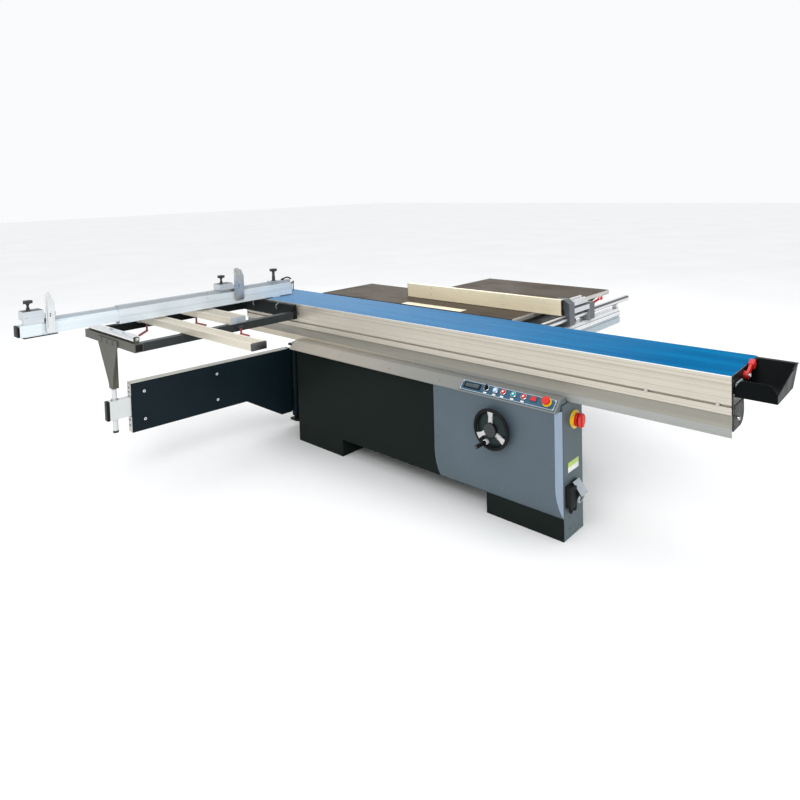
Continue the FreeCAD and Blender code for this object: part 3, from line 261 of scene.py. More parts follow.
def plastic(name, color, roughness=0.40, grain=900.0, depth=0.00008, tint=1.15, gloss=0.4):
    """Moulded plastic: fine spark-eroded grain, mould sheen and paler rubbed edges."""
    shade = Shade(name, color, roughness)
    shade.put("Specular IOR Level", gloss)
    edges = shade.exposed_edges(0.0012)
    clouds = shade.noise(18.0, 4.0)
    base = shade.layer(scaled(color, 0.92), scaled(color, 1.08), clouds, 0.35, 0.7)
    pale = tuple(channel * tint + 0.03 for channel in color)
    shade.color(shade.mix(shade.math("MULTIPLY", edges, 0.5), base, pale))
    shade.roughness(clouds, roughness - 0.06, roughness + 0.08)
    shade.bump(shade.noise(grain, 1.0), depth, 0.5)
    return shade.material


def film():
    """Blue protective film: glossy, with long stretch marks, trapped air, scuffs and a painted reflection
    that pales it toward -X.
    """
    color = (0.0, 0.140, 0.400)
    shade = Shade("blue_film", color, 0.30)
    stretch_marks = shade.noise(1.0, 3.0, (1.1, 26.0, 1.0))
    air = shade.noise(34.0, 2.0)
    scuffs = shade.noise(5.0, 6.0, (1.0, 3.2, 1.0), 0.7)
    base = shade.layer((0.0, 0.108, 0.270), (0.0, 0.155, 0.350), stretch_marks, 0.35, 0.68)
    # Painted reflection: the film grows paler toward -X, where it is seen at a grazing angle.
    base = shade.layer(base, (0.190, 0.310, 0.470), shade.axis(0), 1.3, -1.7, 0.75)
    base = shade.layer(base, (0.02, 0.22, 0.52), scuffs, 0.60, 0.76, 0.20)
    base = shade.layer(base, (0.05, 0.28, 0.60), air, 0.66, 0.74, 0.10)
    shade.color(base)
    shade.roughness(scuffs, 0.20, 0.38, 0.35, 0.75)
    shade.put("Specular IOR Level", 0.001)
    shade.bump(stretch_marks, 0.0004, 0.4)
    shade.bump(air, 0.0002, 0.3)
    return shade.material


def table_iron():
    """Ground cast iron under oil: long grinding lines, cloudy gloss and darker patches."""
    color = (0.060, 0.052, 0.046)
    shade = Shade("table_iron", color, 0.26)
    shade.exposed_edges(0.0015)
    lines = shade.noise(1.0, 3.0, (1.6, 320.0, 40.0))
    arcs = shade.noise(1.0, 3.0, (200.0, 1.2, 40.0))
    stains = shade.noise(4.5, 6.0)
    base = shade.layer((0.068, 0.054, 0.042), (0.110, 0.090, 0.070), lines, 0.3, 0.7)
    base = shade.layer(base, (0.050, 0.030, 0.018), stains, 0.5, 0.75, 0.45)
    shade.color(base)
    shade.roughness(stains, 0.18, 0.38, 0.3, 0.75)
    shade.put("Specular IOR Level", 0.003)
    shade.bump(lines, 0.00006, 0.6)
    shade.bump(arcs, 0.00003, 0.4)
    return shade.material


def two_tone(name, inside, outside, mask, roughness=(0.3, 0.45), metallic=0.0, gloss=0.5):
    """A moulded or painted piece in two colours, parted by a mask built on its own place."""
    shade = Shade(name, inside, roughness[0], metallic)
    shade.put("Specular IOR Level", gloss)
    edges = shade.exposed_edges(0.0012)
    value = mask(shade)
    clouds = shade.noise(40.0, 4.0)
    tone = shade.mix(value, outside, inside)
    tone = shade.layer(tone, (0.0, 0.0, 0.0), clouds, 0.3, 0.7, 0.16)
    shade.color(shade.mix(shade.math("MULTIPLY", edges, 0.25), tone, (0.5, 0.5, 0.5)))
    shade.roughness(value, roughness[1], roughness[0], 0.0, 1.0)
    shade.bump(shade.noise(700.0, 1.0), 0.00006, 0.4)
    return shade.material


def within(shade, axis, start, end, soft=0.0006):
    """Mask: 1 where one coordinate lies between two values."""
    value = shade.axis(axis)
    return shade.math("MULTIPLY", shade.spread(value, start - soft, start + soft),
        shade.spread(value, end + soft, end - soft))


def ring_mask(center, inner, outer):
    """Mask: 1 at a distance from an axis along Y between two radii."""
    def build(shade):
        dx = shade.math("SUBTRACT", shade.axis(0), center.x)
        dz = shade.math("SUBTRACT", shade.axis(2), center.z)
        squares = shade.math("ADD", shade.math("MULTIPLY", dx, dx), shade.math("MULTIPLY", dz, dz))
        reach = shade.math("SQRT", squares)
        return shade.math("MULTIPLY", shade.spread(reach, inner, inner + MM),
            shade.spread(reach, outer, outer - MM))
    return build


def carrier_mask(shade):
    """Mask: 1 on the fence carrier's bright bars, 0 on its cheek and its tail, which keep its dark paint,
    and 0 in the gap between the bars, where the same dark colour is painted shade.
    """
    start, end = low("fence_carrier").y + 0.061, high("fence_carrier").y - 0.060
    # Painted shade: the gap between the bars takes the dark colour.
    gap = shade.math("SUBTRACT", 1.0, within(shade, 2, 0.896, 0.9085))
    return shade.math("MULTIPLY", within(shade, 1, start, end), gap)


def scale_strip(name, axis, start, color, marks, step=0.010):
    """Printed measuring strip: short marks each step and longer ones each fifth, no figures."""
    shade = Shade(name, color, 0.38)
    place = shade.math("SUBTRACT", shade.axis(axis), start)
    fine = shade.math("LESS_THAN", shade.math("MODULO", place, step), 0.0016)
    coarse = shade.math("LESS_THAN", shade.math("MODULO", place, step * 5), 0.0030)
    value = shade.math("MAXIMUM", shade.math("MULTIPLY", fine, 0.7), coarse, True)
    rub = shade.noise(30.0, 4.0)
    value = shade.math("MULTIPLY", value, shade.spread(rub, 0.25, 0.45))
    shade.color(shade.mix(value, color, marks))
    shade.roughness(rub, 0.30, 0.50)
    shade.bump(rub, 0.00004, 0.4)
    return shade.material


# ---- mesh building blocks
def new_object(name, data):
    """Object around a mesh, curve, light or camera, linked to the scene."""
    made = bpy.data.objects.new(name, data)
    bpy.context.scene.collection.objects.link(made)
    return made


def new_mesh(name, bm):
    mesh = bpy.data.meshes.new(name)
    bm.to_mesh(mesh)
    bm.free()
    return mesh


def finish_mesh(name, bm, body, slot, look=None):
    """Turn a bmesh into a piece that rides on a body; its look is a material, a name, or the slot's own."""
    bmesh.ops.recalc_face_normals(bm, faces=bm.faces)
    mesh = new_mesh(name, bm)
    mesh.shade_smooth()
    mesh.set_sharp_from_angle(angle=SMOOTH_ANGLE)
    piece = new_object(name, mesh)
    mesh.materials.append(look if isinstance(look, bpy.types.Material) else LOOK[look or slot])
    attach(piece, body)
    return piece


def rounded(bm, edges, radius):
    """Round edges by a radius in millimetres."""
    return bmesh.ops.bevel(bm, geom=edges, offset=radius * MM, segments=2, profile=0.5, affect="EDGES",
        clamp_overlap=True)


def blocks(name, pairs, radius, body, slot, look=None, matrix=None):
    """Boxes between pairs of corners in one piece, their edges rounded by a radius in millimetres."""
    bm = bmesh.new()
    for first, second in pairs:
        a, b = Vector(first), Vector(second)
        made = bmesh.ops.create_cube(bm, size=1.0)["verts"]
        place = Matrix.Translation((a + b) / 2) @ Matrix.Diagonal((*(b - a), 1.0))
        bmesh.ops.transform(bm, matrix=place, verts=made)
        result = rounded(bm, list({edge for vert in made for edge in vert.link_edges}), radius)
        if matrix is not None:
            verts = {vert for face in result["faces"] for vert in face.verts}
            verts = list(verts | {vert for vert in made if vert.is_valid})
            bmesh.ops.transform(bm, matrix=matrix, verts=verts)
    return finish_mesh(name, bm, body, slot, look)


def block(name, first, second, *settings):
    return blocks(name, [(first, second)], *settings)


def add_turned(bm, rings, place, direction, steps=24, spin=0.0, hollow=False):
    """Revolve (radius, height) rings in millimetres about a direction; a third value makes it a polygon.

    A hollow piece joins its last ring to its first; the others are closed by a flat face at each end.
    """
    turn = direction.to_track_quat("Z", "Y").to_matrix().to_4x4()
    matrix = Matrix.Translation(place) @ turn @ Matrix.Rotation(spin, 4, "Z")
    loops = []
    for radius, height, *sides in rings:
        loop = []
        for index in range(steps):
            angle = 2 * math.pi * index / steps
            reach = radius * MM
            if sides:
                part = math.pi / sides[0]
                reach *= math.cos(part) / math.cos(angle % (2 * part) - part)
            point = Vector((reach * math.cos(angle), reach * math.sin(angle), height * MM))
            loop.append(bm.verts.new(matrix @ point))
        loops.append(loop)
    uppers = loops[1:] + loops[:1] if hollow else loops[1:]
    for lower, upper in zip(loops, uppers):
        for index in range(steps):
            after = (index + 1) % steps
            bm.faces.new((lower[index], lower[after], upper[after], upper[index]))
    if not hollow:
        bm.faces.new(list(reversed(loops[0])))
        bm.faces.new(loops[-1])


def turned(name, rings, place, direction, body, slot, look=None, steps=32):
    bm = bmesh.new()
    add_turned(bm, rings, Vector(place), direction, steps)
    return finish_mesh(name, bm, body, slot, look)


def cap_head(radius, height):
    """Socket-head screw with a hexagon recess."""
    return [(radius, 0), (radius, 0.75 * height), (0.86 * radius, height), (0.56 * radius, height, 6),
        (0.50 * radius, 0.45 * height, 6), (0.1 * radius, 0.40 * height)]


def button_head(radius, height):
    """Domed screw with a hexagon recess."""
    return [(radius, 0), (0.92 * radius, 0.45 * height), (0.62 * radius, 0.92 * height),
        (0.42 * radius, height, 6), (0.38 * radius, 0.5 * height, 6), (0.1 * radius, 0.45 * height)]


def hex_nut(radius, height):
    """Hexagon nut on a washer, with the stud's end."""
    washer = 0.22 * height
    return [(1.35 * radius, 0), (1.35 * radius, washer), (radius, washer, 6), (radius, 0.85 * height, 6),
        (0.80 * radius, height), (0.50 * radius, height), (0.48 * radius, 1.25 * height),
        (0.40 * radius, 1.30 * height)]


def fasteners(name, head, places, direction, body="base", look="dark_steel"):
    """A set of equal screws or nuts in one piece, each turned a little differently."""
    bm = bmesh.new()
    for index, place in enumerate(places):
        add_turned(bm, head, Vector(place), direction, 24, 0.7 * index)
    return finish_mesh(name, bm, body, "bright_steel", look)


def add_prism(bm, outline, place, start, end):
    """Outline carried from start to end; place gives the point for two outline values and the way along."""
    rings = [[bm.verts.new(place(u, v, along)) for u, v in outline] for along in (start, end)]
    for index in range(len(outline)):
        after = (index + 1) % len(outline)
        bm.faces.new((rings[0][index], rings[0][after], rings[1][after], rings[1][index]))
    bm.faces.new(list(reversed(rings[0])))
    bm.faces.new(rings[1])


def prism(name, outline, axis, start, end, bevel, body, slot, look=None):
    """Outline extruded along an axis; its points are the other two coordinates, its bevel millimetres."""
    bm = bmesh.new()

    def point(u, v, along):
        values = [u, v]
        values.insert(axis, along)
        return Vector(values)

    add_prism(bm, outline, point, start, end)
    if bevel:
        bmesh.ops.recalc_face_normals(bm, faces=bm.faces)
        rounded(bm, list(bm.edges), bevel)
    return finish_mesh(name, bm, body, slot, look)


def bent_rod(name, points, radius, body, slot, look=None, order=3):
    """Round bar, its radius in millimetres, along a smooth line through given points."""
    curve = bpy.data.curves.new(name, "CURVE")
    curve.dimensions = "3D"
    spline = curve.splines.new("NURBS")
    spline.points.add(len(points) - 1)
    for target, point in zip(spline.points, points):
        target.co = (*point, 1.0)
    spline.order_u = order
    spline.use_endpoint_u = True
    curve.bevel_depth = radius * MM
    curve.bevel_resolution = 4
    curve.use_fill_caps = True
    holder = new_object(name + "_line", curve)
    mesh = bpy.data.meshes.new_from_object(holder)
    bpy.data.objects.remove(holder)
    bm = bmesh.new()
    bm.from_mesh(mesh)
    bpy.data.meshes.remove(mesh)
    bmesh.ops.remove_doubles(bm, verts=bm.verts, dist=1e-6)
    return finish_mesh(name, bm, body, slot, look)


# ---- the machine's materials
wheel = joint_point("handwheel_turn")
LOOKS = {"black_paint": (paint, (0.0070, 0.0115, 0.0100), 0.40, dict(gloss=0.06)),
    "arm_paint": (paint, (0.006, 0.014, 0.019), 0.36, dict(gloss=0.10)),
    # cover_paint: its lighter chamfer colour is a painted highlight on the cover's bevelled corner.
    "cover_paint": (paint, (0.082, 0.112, 0.134), 0.38, dict(leaning=(0.26, 0.33, 0.42), gloss=0.25)),
    "cabinet_paint": (paint, (0.080, 0.112, 0.124), 0.42, dict(gloss=0.2)),
    # hood_paint: a painted sheen makes the hood paler toward -X, and its +X end faces take painted shade.
    "hood_paint": (paint, (0.340, 0.310, 0.262), 0.40, dict(fading=(-0.8, 0.35, (0.190, 0.198, 0.190)),
    cheek=(0.080, 0.112, 0.124))), "pale_paint": (paint, (0.50, 0.50, 0.46), 0.38),
    "console_foil": (paint, (0.026, 0.090, 0.150), 0.30, dict(worn=0.1)),
    "post_paint": (paint, (0.62, 0.64, 0.64), 0.34), "olive_paint": (paint, (0.080, 0.078, 0.062), 0.42),
    "saw_unit_paint": (paint, (0.045, 0.055, 0.060), 0.45), "bracket_paint": (paint,
    # beam_lines: the dark band from z 0.6595 to 0.72 is painted shade in the beam's recess; a painted sheen
    # turns the beam pale beige toward -X.
    (0.0060, 0.0080, 0.0080), 0.42, dict(gloss=0.1)), "beam_lines": (extrusion, (0.34, 0.35, 0.33), 0, 0.40,
    0.25, None, ((0.6595, 0.7200, (0.275, 0.262, 0.222)),), (0.30, -0.70, (0.56, 0.50, 0.40))),
    # carriage_lines: the pale colour above z 0.8605 is a painted highlight along the carriage's top edge.
    "carriage_lines": (extrusion, (0.56, 0.52, 0.44), 0, 0.36, 0.4, (0.8605, (0.80, 0.84, 0.86))),
    "fence_lines": (extrusion, (0.72, 0.79, 0.84), 1, 0.34, 0.30, (0.9508, (0.40, 0.44, 0.47))),
    "stop_lines": (extrusion, (0.58, 0.62, 0.66), 1, 0.30, 0.45), "rip_lines": (extrusion,
    (0.92, 0.80, 0.56), 0, 0.32, 0.2), "rail_lines": (extrusion, (0.40, 0.47, 0.51), 1, 0.28, 0.4,
    (0.757, (0.74, 0.75, 0.76)), ((0.7550, 0.7575, (0.10, 0.11, 0.13)), (0.7800, 0.7840, (0.13, 0.12, 0.12)),
    (0.7990, 0.8040, (0.22, 0.20, 0.19)))), "edge_lines": (extrusion, (0.60, 0.58, 0.54), 1, 0.30, 0.6),
    "support_lines": (extrusion, (0.70, 0.65, 0.54), 0, 0.36, 0.5), "rails": (extrusion,
    (0.022, 0.028, 0.030), 0, 0.36, 0.2, (0.8205, (0.66, 0.61, 0.50))),
    "bright_bar": (metal, (0.80, 0.80, 0.80), 0.12, 0), "bright_steel": (metal, (0.58, 0.58, 0.57), 0.28),
    "chrome": (metal, (0.62, 0.63, 0.65), 0.12, None, 1.0, 0.00001), "dark_chrome": (metal,
    (0.24, 0.25, 0.26), 0.16, None, 1.0, 0.00001), "blade_steel": (metal, (0.74, 0.76, 0.77), 0.22, 2),
    "dark_steel": (metal, (0.10, 0.10, 0.10), 0.38), "black_plastic": (plastic, (0.008, 0.009, 0.009), 0.42,
    dict(gloss=0.15)), "tray_plastic": (plastic, (0.0020, 0.0030, 0.0032), 0.34, dict(tint=1.0, gloss=0.06)),
    "knob_plastic": (plastic, (0.036, 0.040, 0.040), 0.45, dict(gloss=0.25)),
    "red_plastic": (plastic, (0.60, 0.020, 0.014), 0.28), "yellow_plastic": (plastic, (0.85, 0.58, 0.02),
    0.32), "blue_white_plastic": (plastic, (0.40, 0.60, 0.85), 0.25), "white_plastic": (plastic,
    (0.78, 0.79, 0.78), 0.30), "teal_plastic": (plastic, (0.01, 0.32, 0.34), 0.25),
    "pale_grey_plastic": (plastic, (0.34, 0.38, 0.42), 0.30), "belt_rubber": (plastic, (0.018, 0.018, 0.018),
    0.65, 300.0, 0.0003), "display": (plastic, (0.045, 0.070, 0.085), 0.08, 60.0, 0.00001),
    "wheel_dish": (plastic, (0.010, 0.020, 0.020), 0.38, dict(gloss=0.2)),}


def made(name, kind, *values):
    """Make a look from its table row; a dict at the row's end holds the named values."""
    named = values[-1] if isinstance(values[-1], dict) else {}
    return kind(name, *values[:-1] if named else values, **named)


LOOK = {name: made(name, *row) for name, row in LOOKS.items()}
LOOK["blue_film"] = film()
LOOK["table_iron"] = table_iron()
# The fence bar's dark band is a painted reflection, and its grey lower band is painted shade on its
# underside.
LOOK["fence_bar"] = extrusion("fence_bar", (0.66, 0.67, 0.68), 1, 0.22, 0.4, None,
    ((low("fence_bar").z + 0.0235, low("fence_bar").z + 0.0345, (0.070, 0.072, 0.080)),
    (low("fence_bar").z - 0.001, low("fence_bar").z + 0.0095, (0.30, 0.31, 0.33))))
# carrier: the dark colour is the carrier's paint on its cheek and tail, and painted shade in the gap between
# the bars.
LOOK["carrier"] = two_tone("carrier", (0.60, 0.62, 0.64), (0.095, 0.108, 0.120), carrier_mask, (0.24, 0.40),
    0.2)
LOOK["levers"] = two_tone("levers", (0.030, 0.032, 0.034), (0.36, 0.045, 0.038),
    lambda shade: within(shade, 2, 0.797, 0.900), (0.34, 0.42))
LOOK["wheel"] = two_tone("wheel", (0.70, 0.71, 0.72), (0.006, 0.007, 0.008), ring_mask(wheel, 0.034, 0.078),
    (0.24, 0.34), 0.0, 0.12)

CAD_LOOKS = {"black_paint": ("base_frame", "front_panel"), "bracket_paint": ("arm_bracket",
    "outrigger_frame", "table_brackets"), "arm_paint": ("arm_box",), "cover_paint": ("front_cover",),
    "cabinet_paint": ("switch_cabinet",), "hood_paint": ("cover_hood",), "console_foil": ("console_plate",),
    "post_paint": ("arm_tube",), "olive_paint": ("outrigger_beam",), "saw_unit_paint": ("tilt_frame",
    "saw_head", "main_motor"), "carrier": ("fence_carrier",), "beam_lines": ("beam_profile",),
    "carriage_lines": ("carriage_profile",), "fence_lines": ("crosscut_fence", "fence_extension"),
    "stop_lines": ("stop_slider_1", "stop_slider_2"), "rip_lines": ("rip_fence",),
    "rail_lines": ("fence_rail",), "support_lines": ("support_rail",), "rails": ("outrigger_rails",),
    "fence_bar": ("fence_bar",), "bright_bar": ("outer_roller",), "bright_steel": ("roller_cage",
    "saw_blade", "scoring_blade", "riving_knife", "motor_pulley"), "blade_steel": ("stop_blade_1",
    "stop_blade_2"), "black_plastic": ("beam_end_caps", "carriage_end_plates", "power_inlet",
    "handwheel_handle", "selector_knob"), "tray_plastic": ("tray",), "knob_plastic": ("swivel_knob",
    "stop_knob_1", "stop_knob_2"), "red_plastic": ("lock_lever", "carrier_lever", "push_button_2",
    "push_button_4", "rocker_switch", "estop_button", "isolator_knob"), "levers": ("outrigger_clamps",),
    "yellow_plastic": ("switch_bases",), "blue_white_plastic": ("push_button_1",),
    "teal_plastic": ("push_button_3",), "belt_rubber": ("drive_belt",), "blue_film": ("carriage_film",),
    "table_iron": ("main_table", "extension_table"), "wheel": ("handwheel",),}


def dress_cad_nodes():
    """Give every CAD node its finished material."""
    for look, names in CAD_LOOKS.items():
        for name in names:
            for place in NODES[name].material_slots:
                place.material = LOOK[look]


# ---- carriage and beam
def carriage_details():
    """T-bolts in the side slot, ridges of the extrusion, and the end plates' screws."""
    body, profile = "carriage", "carriage_profile"
    side, right, left = low(profile).y, high(profile).x, low(profile).x
    slot_z = low(profile).z + 34 * MM
    bolts = [(right - reach, side - 0.5 * MM, slot_z) for reach in (0.05, 0.33)]
    fasteners("carriage_t_bolts", hex_nut(5.5, 5), bolts, -Y, body, "pale_paint")
    for index, (rise, tall) in enumerate(((8, 3.0), (62, 2.2), (92, 2.2), (112, 2.6)), 1):
        z = low(profile).z + rise * MM
        outline = [(side + 0.5 * MM, z), (side - 1.2 * MM, z + 0.4 * MM),
            (side - 1.6 * MM, z + tall * MM / 2), (side - 1.2 * MM, z + tall * MM),
            (side + 0.5 * MM, z + (tall + 0.4) * MM)]
        prism(f"carriage_ridge_{index}", outline, 0, left, right, 0, body, "profile_aluminium",
            "carriage_lines")
    plate = "carriage_end_plates"
    face, top = high(plate).x, high(plate).z
    spots = [(face, side + 9 * MM, top - 128 * MM), (face, side + 9 * MM, top - 20 * MM),
        (face, side + 120 * MM, top - 60 * MM), (face, side + 205 * MM, top - 62 * MM),
        (face, side + 300 * MM, top - 10 * MM)]
    fasteners("end_plate_screws", button_head(4, 2.6), spots, X, body)
    far = [(low(plate).x, y, z) for _, y, z in spots]
    fasteners("far_end_plate_screws", button_head(4, 2.6), far, -X, body)


def beam_details():
    """Long ridges on the beam's apron and the screws of its end caps."""
    profile = "beam_profile"
    side, left, right = low(profile).y, low(profile).x, high(profile).x
    for index, rise in enumerate((6, 20), 1):
        z = low(profile).z + rise * MM
        outline = [(side + 0.5 * MM, z), (side - 1.2 * MM, z + 0.5 * MM), (side - 1.2 * MM, z + 2.4 * MM),
            (side + 0.5 * MM, z + 3 * MM)]
        prism(f"beam_ridge_{index}", outline, 0, left, right, 0, "base", "profile_aluminium", "beam_lines")
    caps = "beam_end_caps"
    face = high(caps).x
    spots = [(face, low(caps).y + dy, low(caps).z + dz) for dy, dz in ((0.022, 0.012), (0.030, 0.082),
        (0.125, 0.082), (0.085, 0.012))]
    fasteners("beam_cap_screws", button_head(4, 2.5), spots, X)
    stop = low(caps).z + 40 * MM
    fasteners("beam_stop_bolt", cap_head(8, 9), [(face, middle(caps).y - 20 * MM, stop)], X,
        look="bright_steel")


def tray_details():
    """Rolled rim of the bin, the pale divider against the carriage, and two screws."""
    body = "carriage"
    a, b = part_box("tray")
    r = 3.5
    z = a.z + 30 * MM
    front = a.y + 1.5 * MM
    bent_rod("tray_rim_front", [(a.x + 6 * MM, front, z), (a.x + 20 * MM, front, a.z + 56 * MM),
        (a.x + 30 * MM, front, a.z + 65 * MM), (b.x - 30 * MM, front, a.z + 65 * MM),
        (b.x - 16 * MM, front, a.z + 56 * MM), (b.x - 2 * MM, front, z)], r, body, "tray_plastic")
    for name, x in (("inner", a.x + 4 * MM), ("outer", b.x - 2 * MM)):
        points = [(x, b.y - 34 * MM, b.z - 2 * MM), (x, a.y + 250 * MM, a.z + 69 * MM)]
        bent_rod(f"tray_rim_{name}", points, r, body, "tray_plastic", None, 2)
    frame_x = a.x + 4 * MM
    y0, y1, z0, z1 = a.y + 8 * MM, a.y + 84 * MM, a.z + 6 * MM, a.z + 52 * MM
    t = 3 * MM
    bars = (((y0, z0), (y1, z0 + t)), ((y0, z1 - t), (y1, z1)), ((y0, z0), (y0 + t, z1)),
        ((y1 - t, z0), (y1, z1)), ((y0 + 36 * MM, z0), (y0 + 39 * MM, z1)))
    blocks("tray_divider", [((frame_x, *first), (frame_x + 7 * MM, *second)) for first, second in bars], 0.8,
        body, "tray_plastic", "pale_grey_plastic")
    spots = [(x, a.y + 60 * MM, a.z + 3 * MM) for x in (a.x + 40 * MM, b.x - 40 * MM)]
    fasteners("tray_screws", button_head(5, 2.5), spots, Z, body)
    pivot = joint_point("lock_lever_turn")
    turned("lock_lever_bolt", cap_head(8, 5), (high("lock_lever").x - 6 * MM, pivot.y, pivot.z), X,
        "lock_lever", "bright_steel")


# ---- outrigger
def outrigger_details():
    """End plugs of the tubes, chrome hooks, rail inserts, bolts and the roller's axle nuts."""
    body = "carriage"
    lo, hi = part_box("outrigger_beam")
    rails_lo, rails_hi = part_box("outrigger_rails")
    plate_lo, plate_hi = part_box("outrigger_frame")
    top = rails_lo.z + 46 * MM
    plug = 36 * MM
    for name, start, end in (("front", hi.x - MM, hi.x + 4 * MM), ("rear", lo.x - 4 * MM, lo.x + MM)):
        block(f"{name}_beam_plug", (start, lo.y + 12 * MM, top - 41 * MM),
            (end, lo.y + 12 * MM + plug, top - 5 * MM), 2, body, "black_plastic")
    for name, x in (("front", hi.x - 46 * MM), ("rear", lo.x)):
        block(f"{name}_tube_collar", (x - 2 * MM, plate_hi.y - 52 * MM, top - 48 * MM),
            (x + 48 * MM, plate_hi.y - 22 * MM, top + 2 * MM), 2.5, body, "black_plastic")
    hooks = (plate_lo.x + 0.20, plate_lo.x + 0.46)
    for index, x in enumerate(hooks, 1):
        y, z = plate_hi.y - 24 * MM, plate_hi.z
        points = [(x, y - 1 * MM, z - 44 * MM), (x, y - 26 * MM, z - 42 * MM), (x, y - 34 * MM, z - 14 * MM),
            (x, y - 16 * MM, z + 1 * MM), (x, y + 3 * MM, z - 3 * MM)]
        bent_rod(f"hook_{index}", points, 4, body, "bright_steel", "dark_chrome")
        turned(f"hook_nut_{index}", hex_nut(8, 7), (x, y, z - 44 * MM), -Y, body, "bright_steel")
    ribbed = high("outrigger_rails").z
    block("ribbed_rail_cap", (rails_hi.x - MM, -0.538, top + 1.5 * MM),
        (rails_hi.x + 5 * MM, -0.437, ribbed - MM), 2, body, "black_plastic", "pale_grey_plastic")
    for index in range(5):
        start = -0.540 + (13 + 16 * index) * MM
        block(f"rail_insert_{index + 1}", (plate_lo.x + 46 * MM, start + 1.2 * MM, ribbed - 4 * MM),
            (rails_hi.x - MM, start + 5.8 * MM, ribbed - 1.2 * MM), 0.8, body, "belt_rubber")
    spots = [(x, lo.y, z) for x in (lo.x + 0.24, lo.x + 0.31, lo.x + 0.38)
        for z in (top - 36 * MM, top - 22 * MM)]
    fasteners("leg_bolts", button_head(6, 3.5), spots, -Y, body)
    axle = joint_point("outer_roller_spin")
    for name, x, way in (("left", lo.x + 27 * MM, -X), ("right", hi.x - 17 * MM, X)):
        turned(f"roller_nut_{name}", hex_nut(7, 6), (x, axle.y, axle.z), way, body, "bright_steel")
    spots = [(plate_lo.x + reach, plate_hi.y - 24 * MM, plate_lo.z + 45 * MM)
        for reach in (0.10, 0.33, 0.55)]
    fasteners("inner_plate_bolts", cap_head(6, 6), spots, -Y, body, "bright_steel")
    s_lo, s_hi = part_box("support_rail")
    block("support_rail_far_cap", (s_lo.x - 5 * MM, s_lo.y, s_lo.z), (s_lo.x + MM, s_hi.y, s_hi.z), 2,
        "support_rail", "black_plastic")
    block("support_rail_cap", (s_hi.x - 13 * MM, s_lo.y - MM, s_lo.z),
        (s_hi.x + MM, s_hi.y + MM, s_hi.z + MM), 3, "support_rail", "black_plastic", "dark_steel")


def arm_details():
    """Pale strip on the arm's top, its bolt heads, the end cover and the hinge rod's nuts."""
    pivot, post = joint_point("arm_swing"), JOINTS["arm_reach"]["axis"]
    along = Vector(post).normalized()
    turn = Matrix.Translation((pivot.x, pivot.y, 0)) @ Matrix.Rotation(math.atan2(along.x, -along.y), 4, "Z")
    top, bottom = high("arm_box").z, 0.260
    end, start, half = 1.086, 0.047, 0.025
    block("arm_top_strip", (-half - MM, -end - MM, top - 2 * MM), (half + MM, -start - 0.02, top + 2.5 * MM),
        1.5, "arm", "post_paint", "pale_paint", turn)
    bm = bmesh.new()
    for sign in (-1, 1):
        way = turn.to_3x3() @ Vector((sign, 0, 0))
        for y in (-1.014, -0.574):
            for z in (0.324, 0.484):
                add_turned(bm, cap_head(8, 4), turn @ Vector((sign * (half + 3 * MM), y, z)), way)
    finish_mesh("arm_bolt_heads", bm, "arm", "bright_steel", "white_plastic")
    face = -end - 2.5 * MM
    heights = ((bottom + MM, 0.352), (0.468, top - 3 * MM))
    blocks("arm_end_covers", [((-half, face, z0), (half, -end + MM, z1)) for z0, z1 in heights], 1.2, "arm",
        "post_paint", "pale_paint", turn)
    blocks("arm_end_slots", [((-12 * MM, face - 0.8 * MM, z - 4 * MM), (12 * MM, face + MM, z + 4 * MM))
        for z in (0.300, 0.330, 0.490, 0.515)], 1.5, "arm", "black_plastic", None, turn)
    reach = 1.1666
    block("tube_end_cap", (-21 * MM, -reach - 48 * MM, 0.356), (21 * MM, -reach - 31 * MM, 0.464), 3,
        "arm_tube", "black_plastic", None, turn)
    foot = turn @ Vector((0, -reach, 0.285))
    turned("post_foot", [(10, -6), (15, -4), (15.5, 4), (14.5, 8)], foot, Z, "arm_tube", "black_plastic",
        "knob_plastic")
    turned("post_collar", [(15, 0), (20, 1), (20, 9), (15, 11)], turn @ Vector((0, -reach, 0.4625)), Z,
        "arm_tube", "bright_steel")
    place = Vector((pivot.x, pivot.y, 0))
    for name, z, way in (("top", 0.564, Z), ("bottom", 0.036, -Z)):
        turned(f"hinge_nut_{name}", hex_nut(15, 9), place + Vector((0, 0, z)), way, "base", "bright_steel",
            "white_plastic")
    b_hi = high("arm_bracket")
    spots = [(x, b_hi.y - 12 * MM, z) for x in (b_hi.x - 0.04, b_hi.x - 0.12) for z in (0.10, 0.30, 0.50)]
    fasteners("bracket_bolts", cap_head(8, 8), spots, -Y)


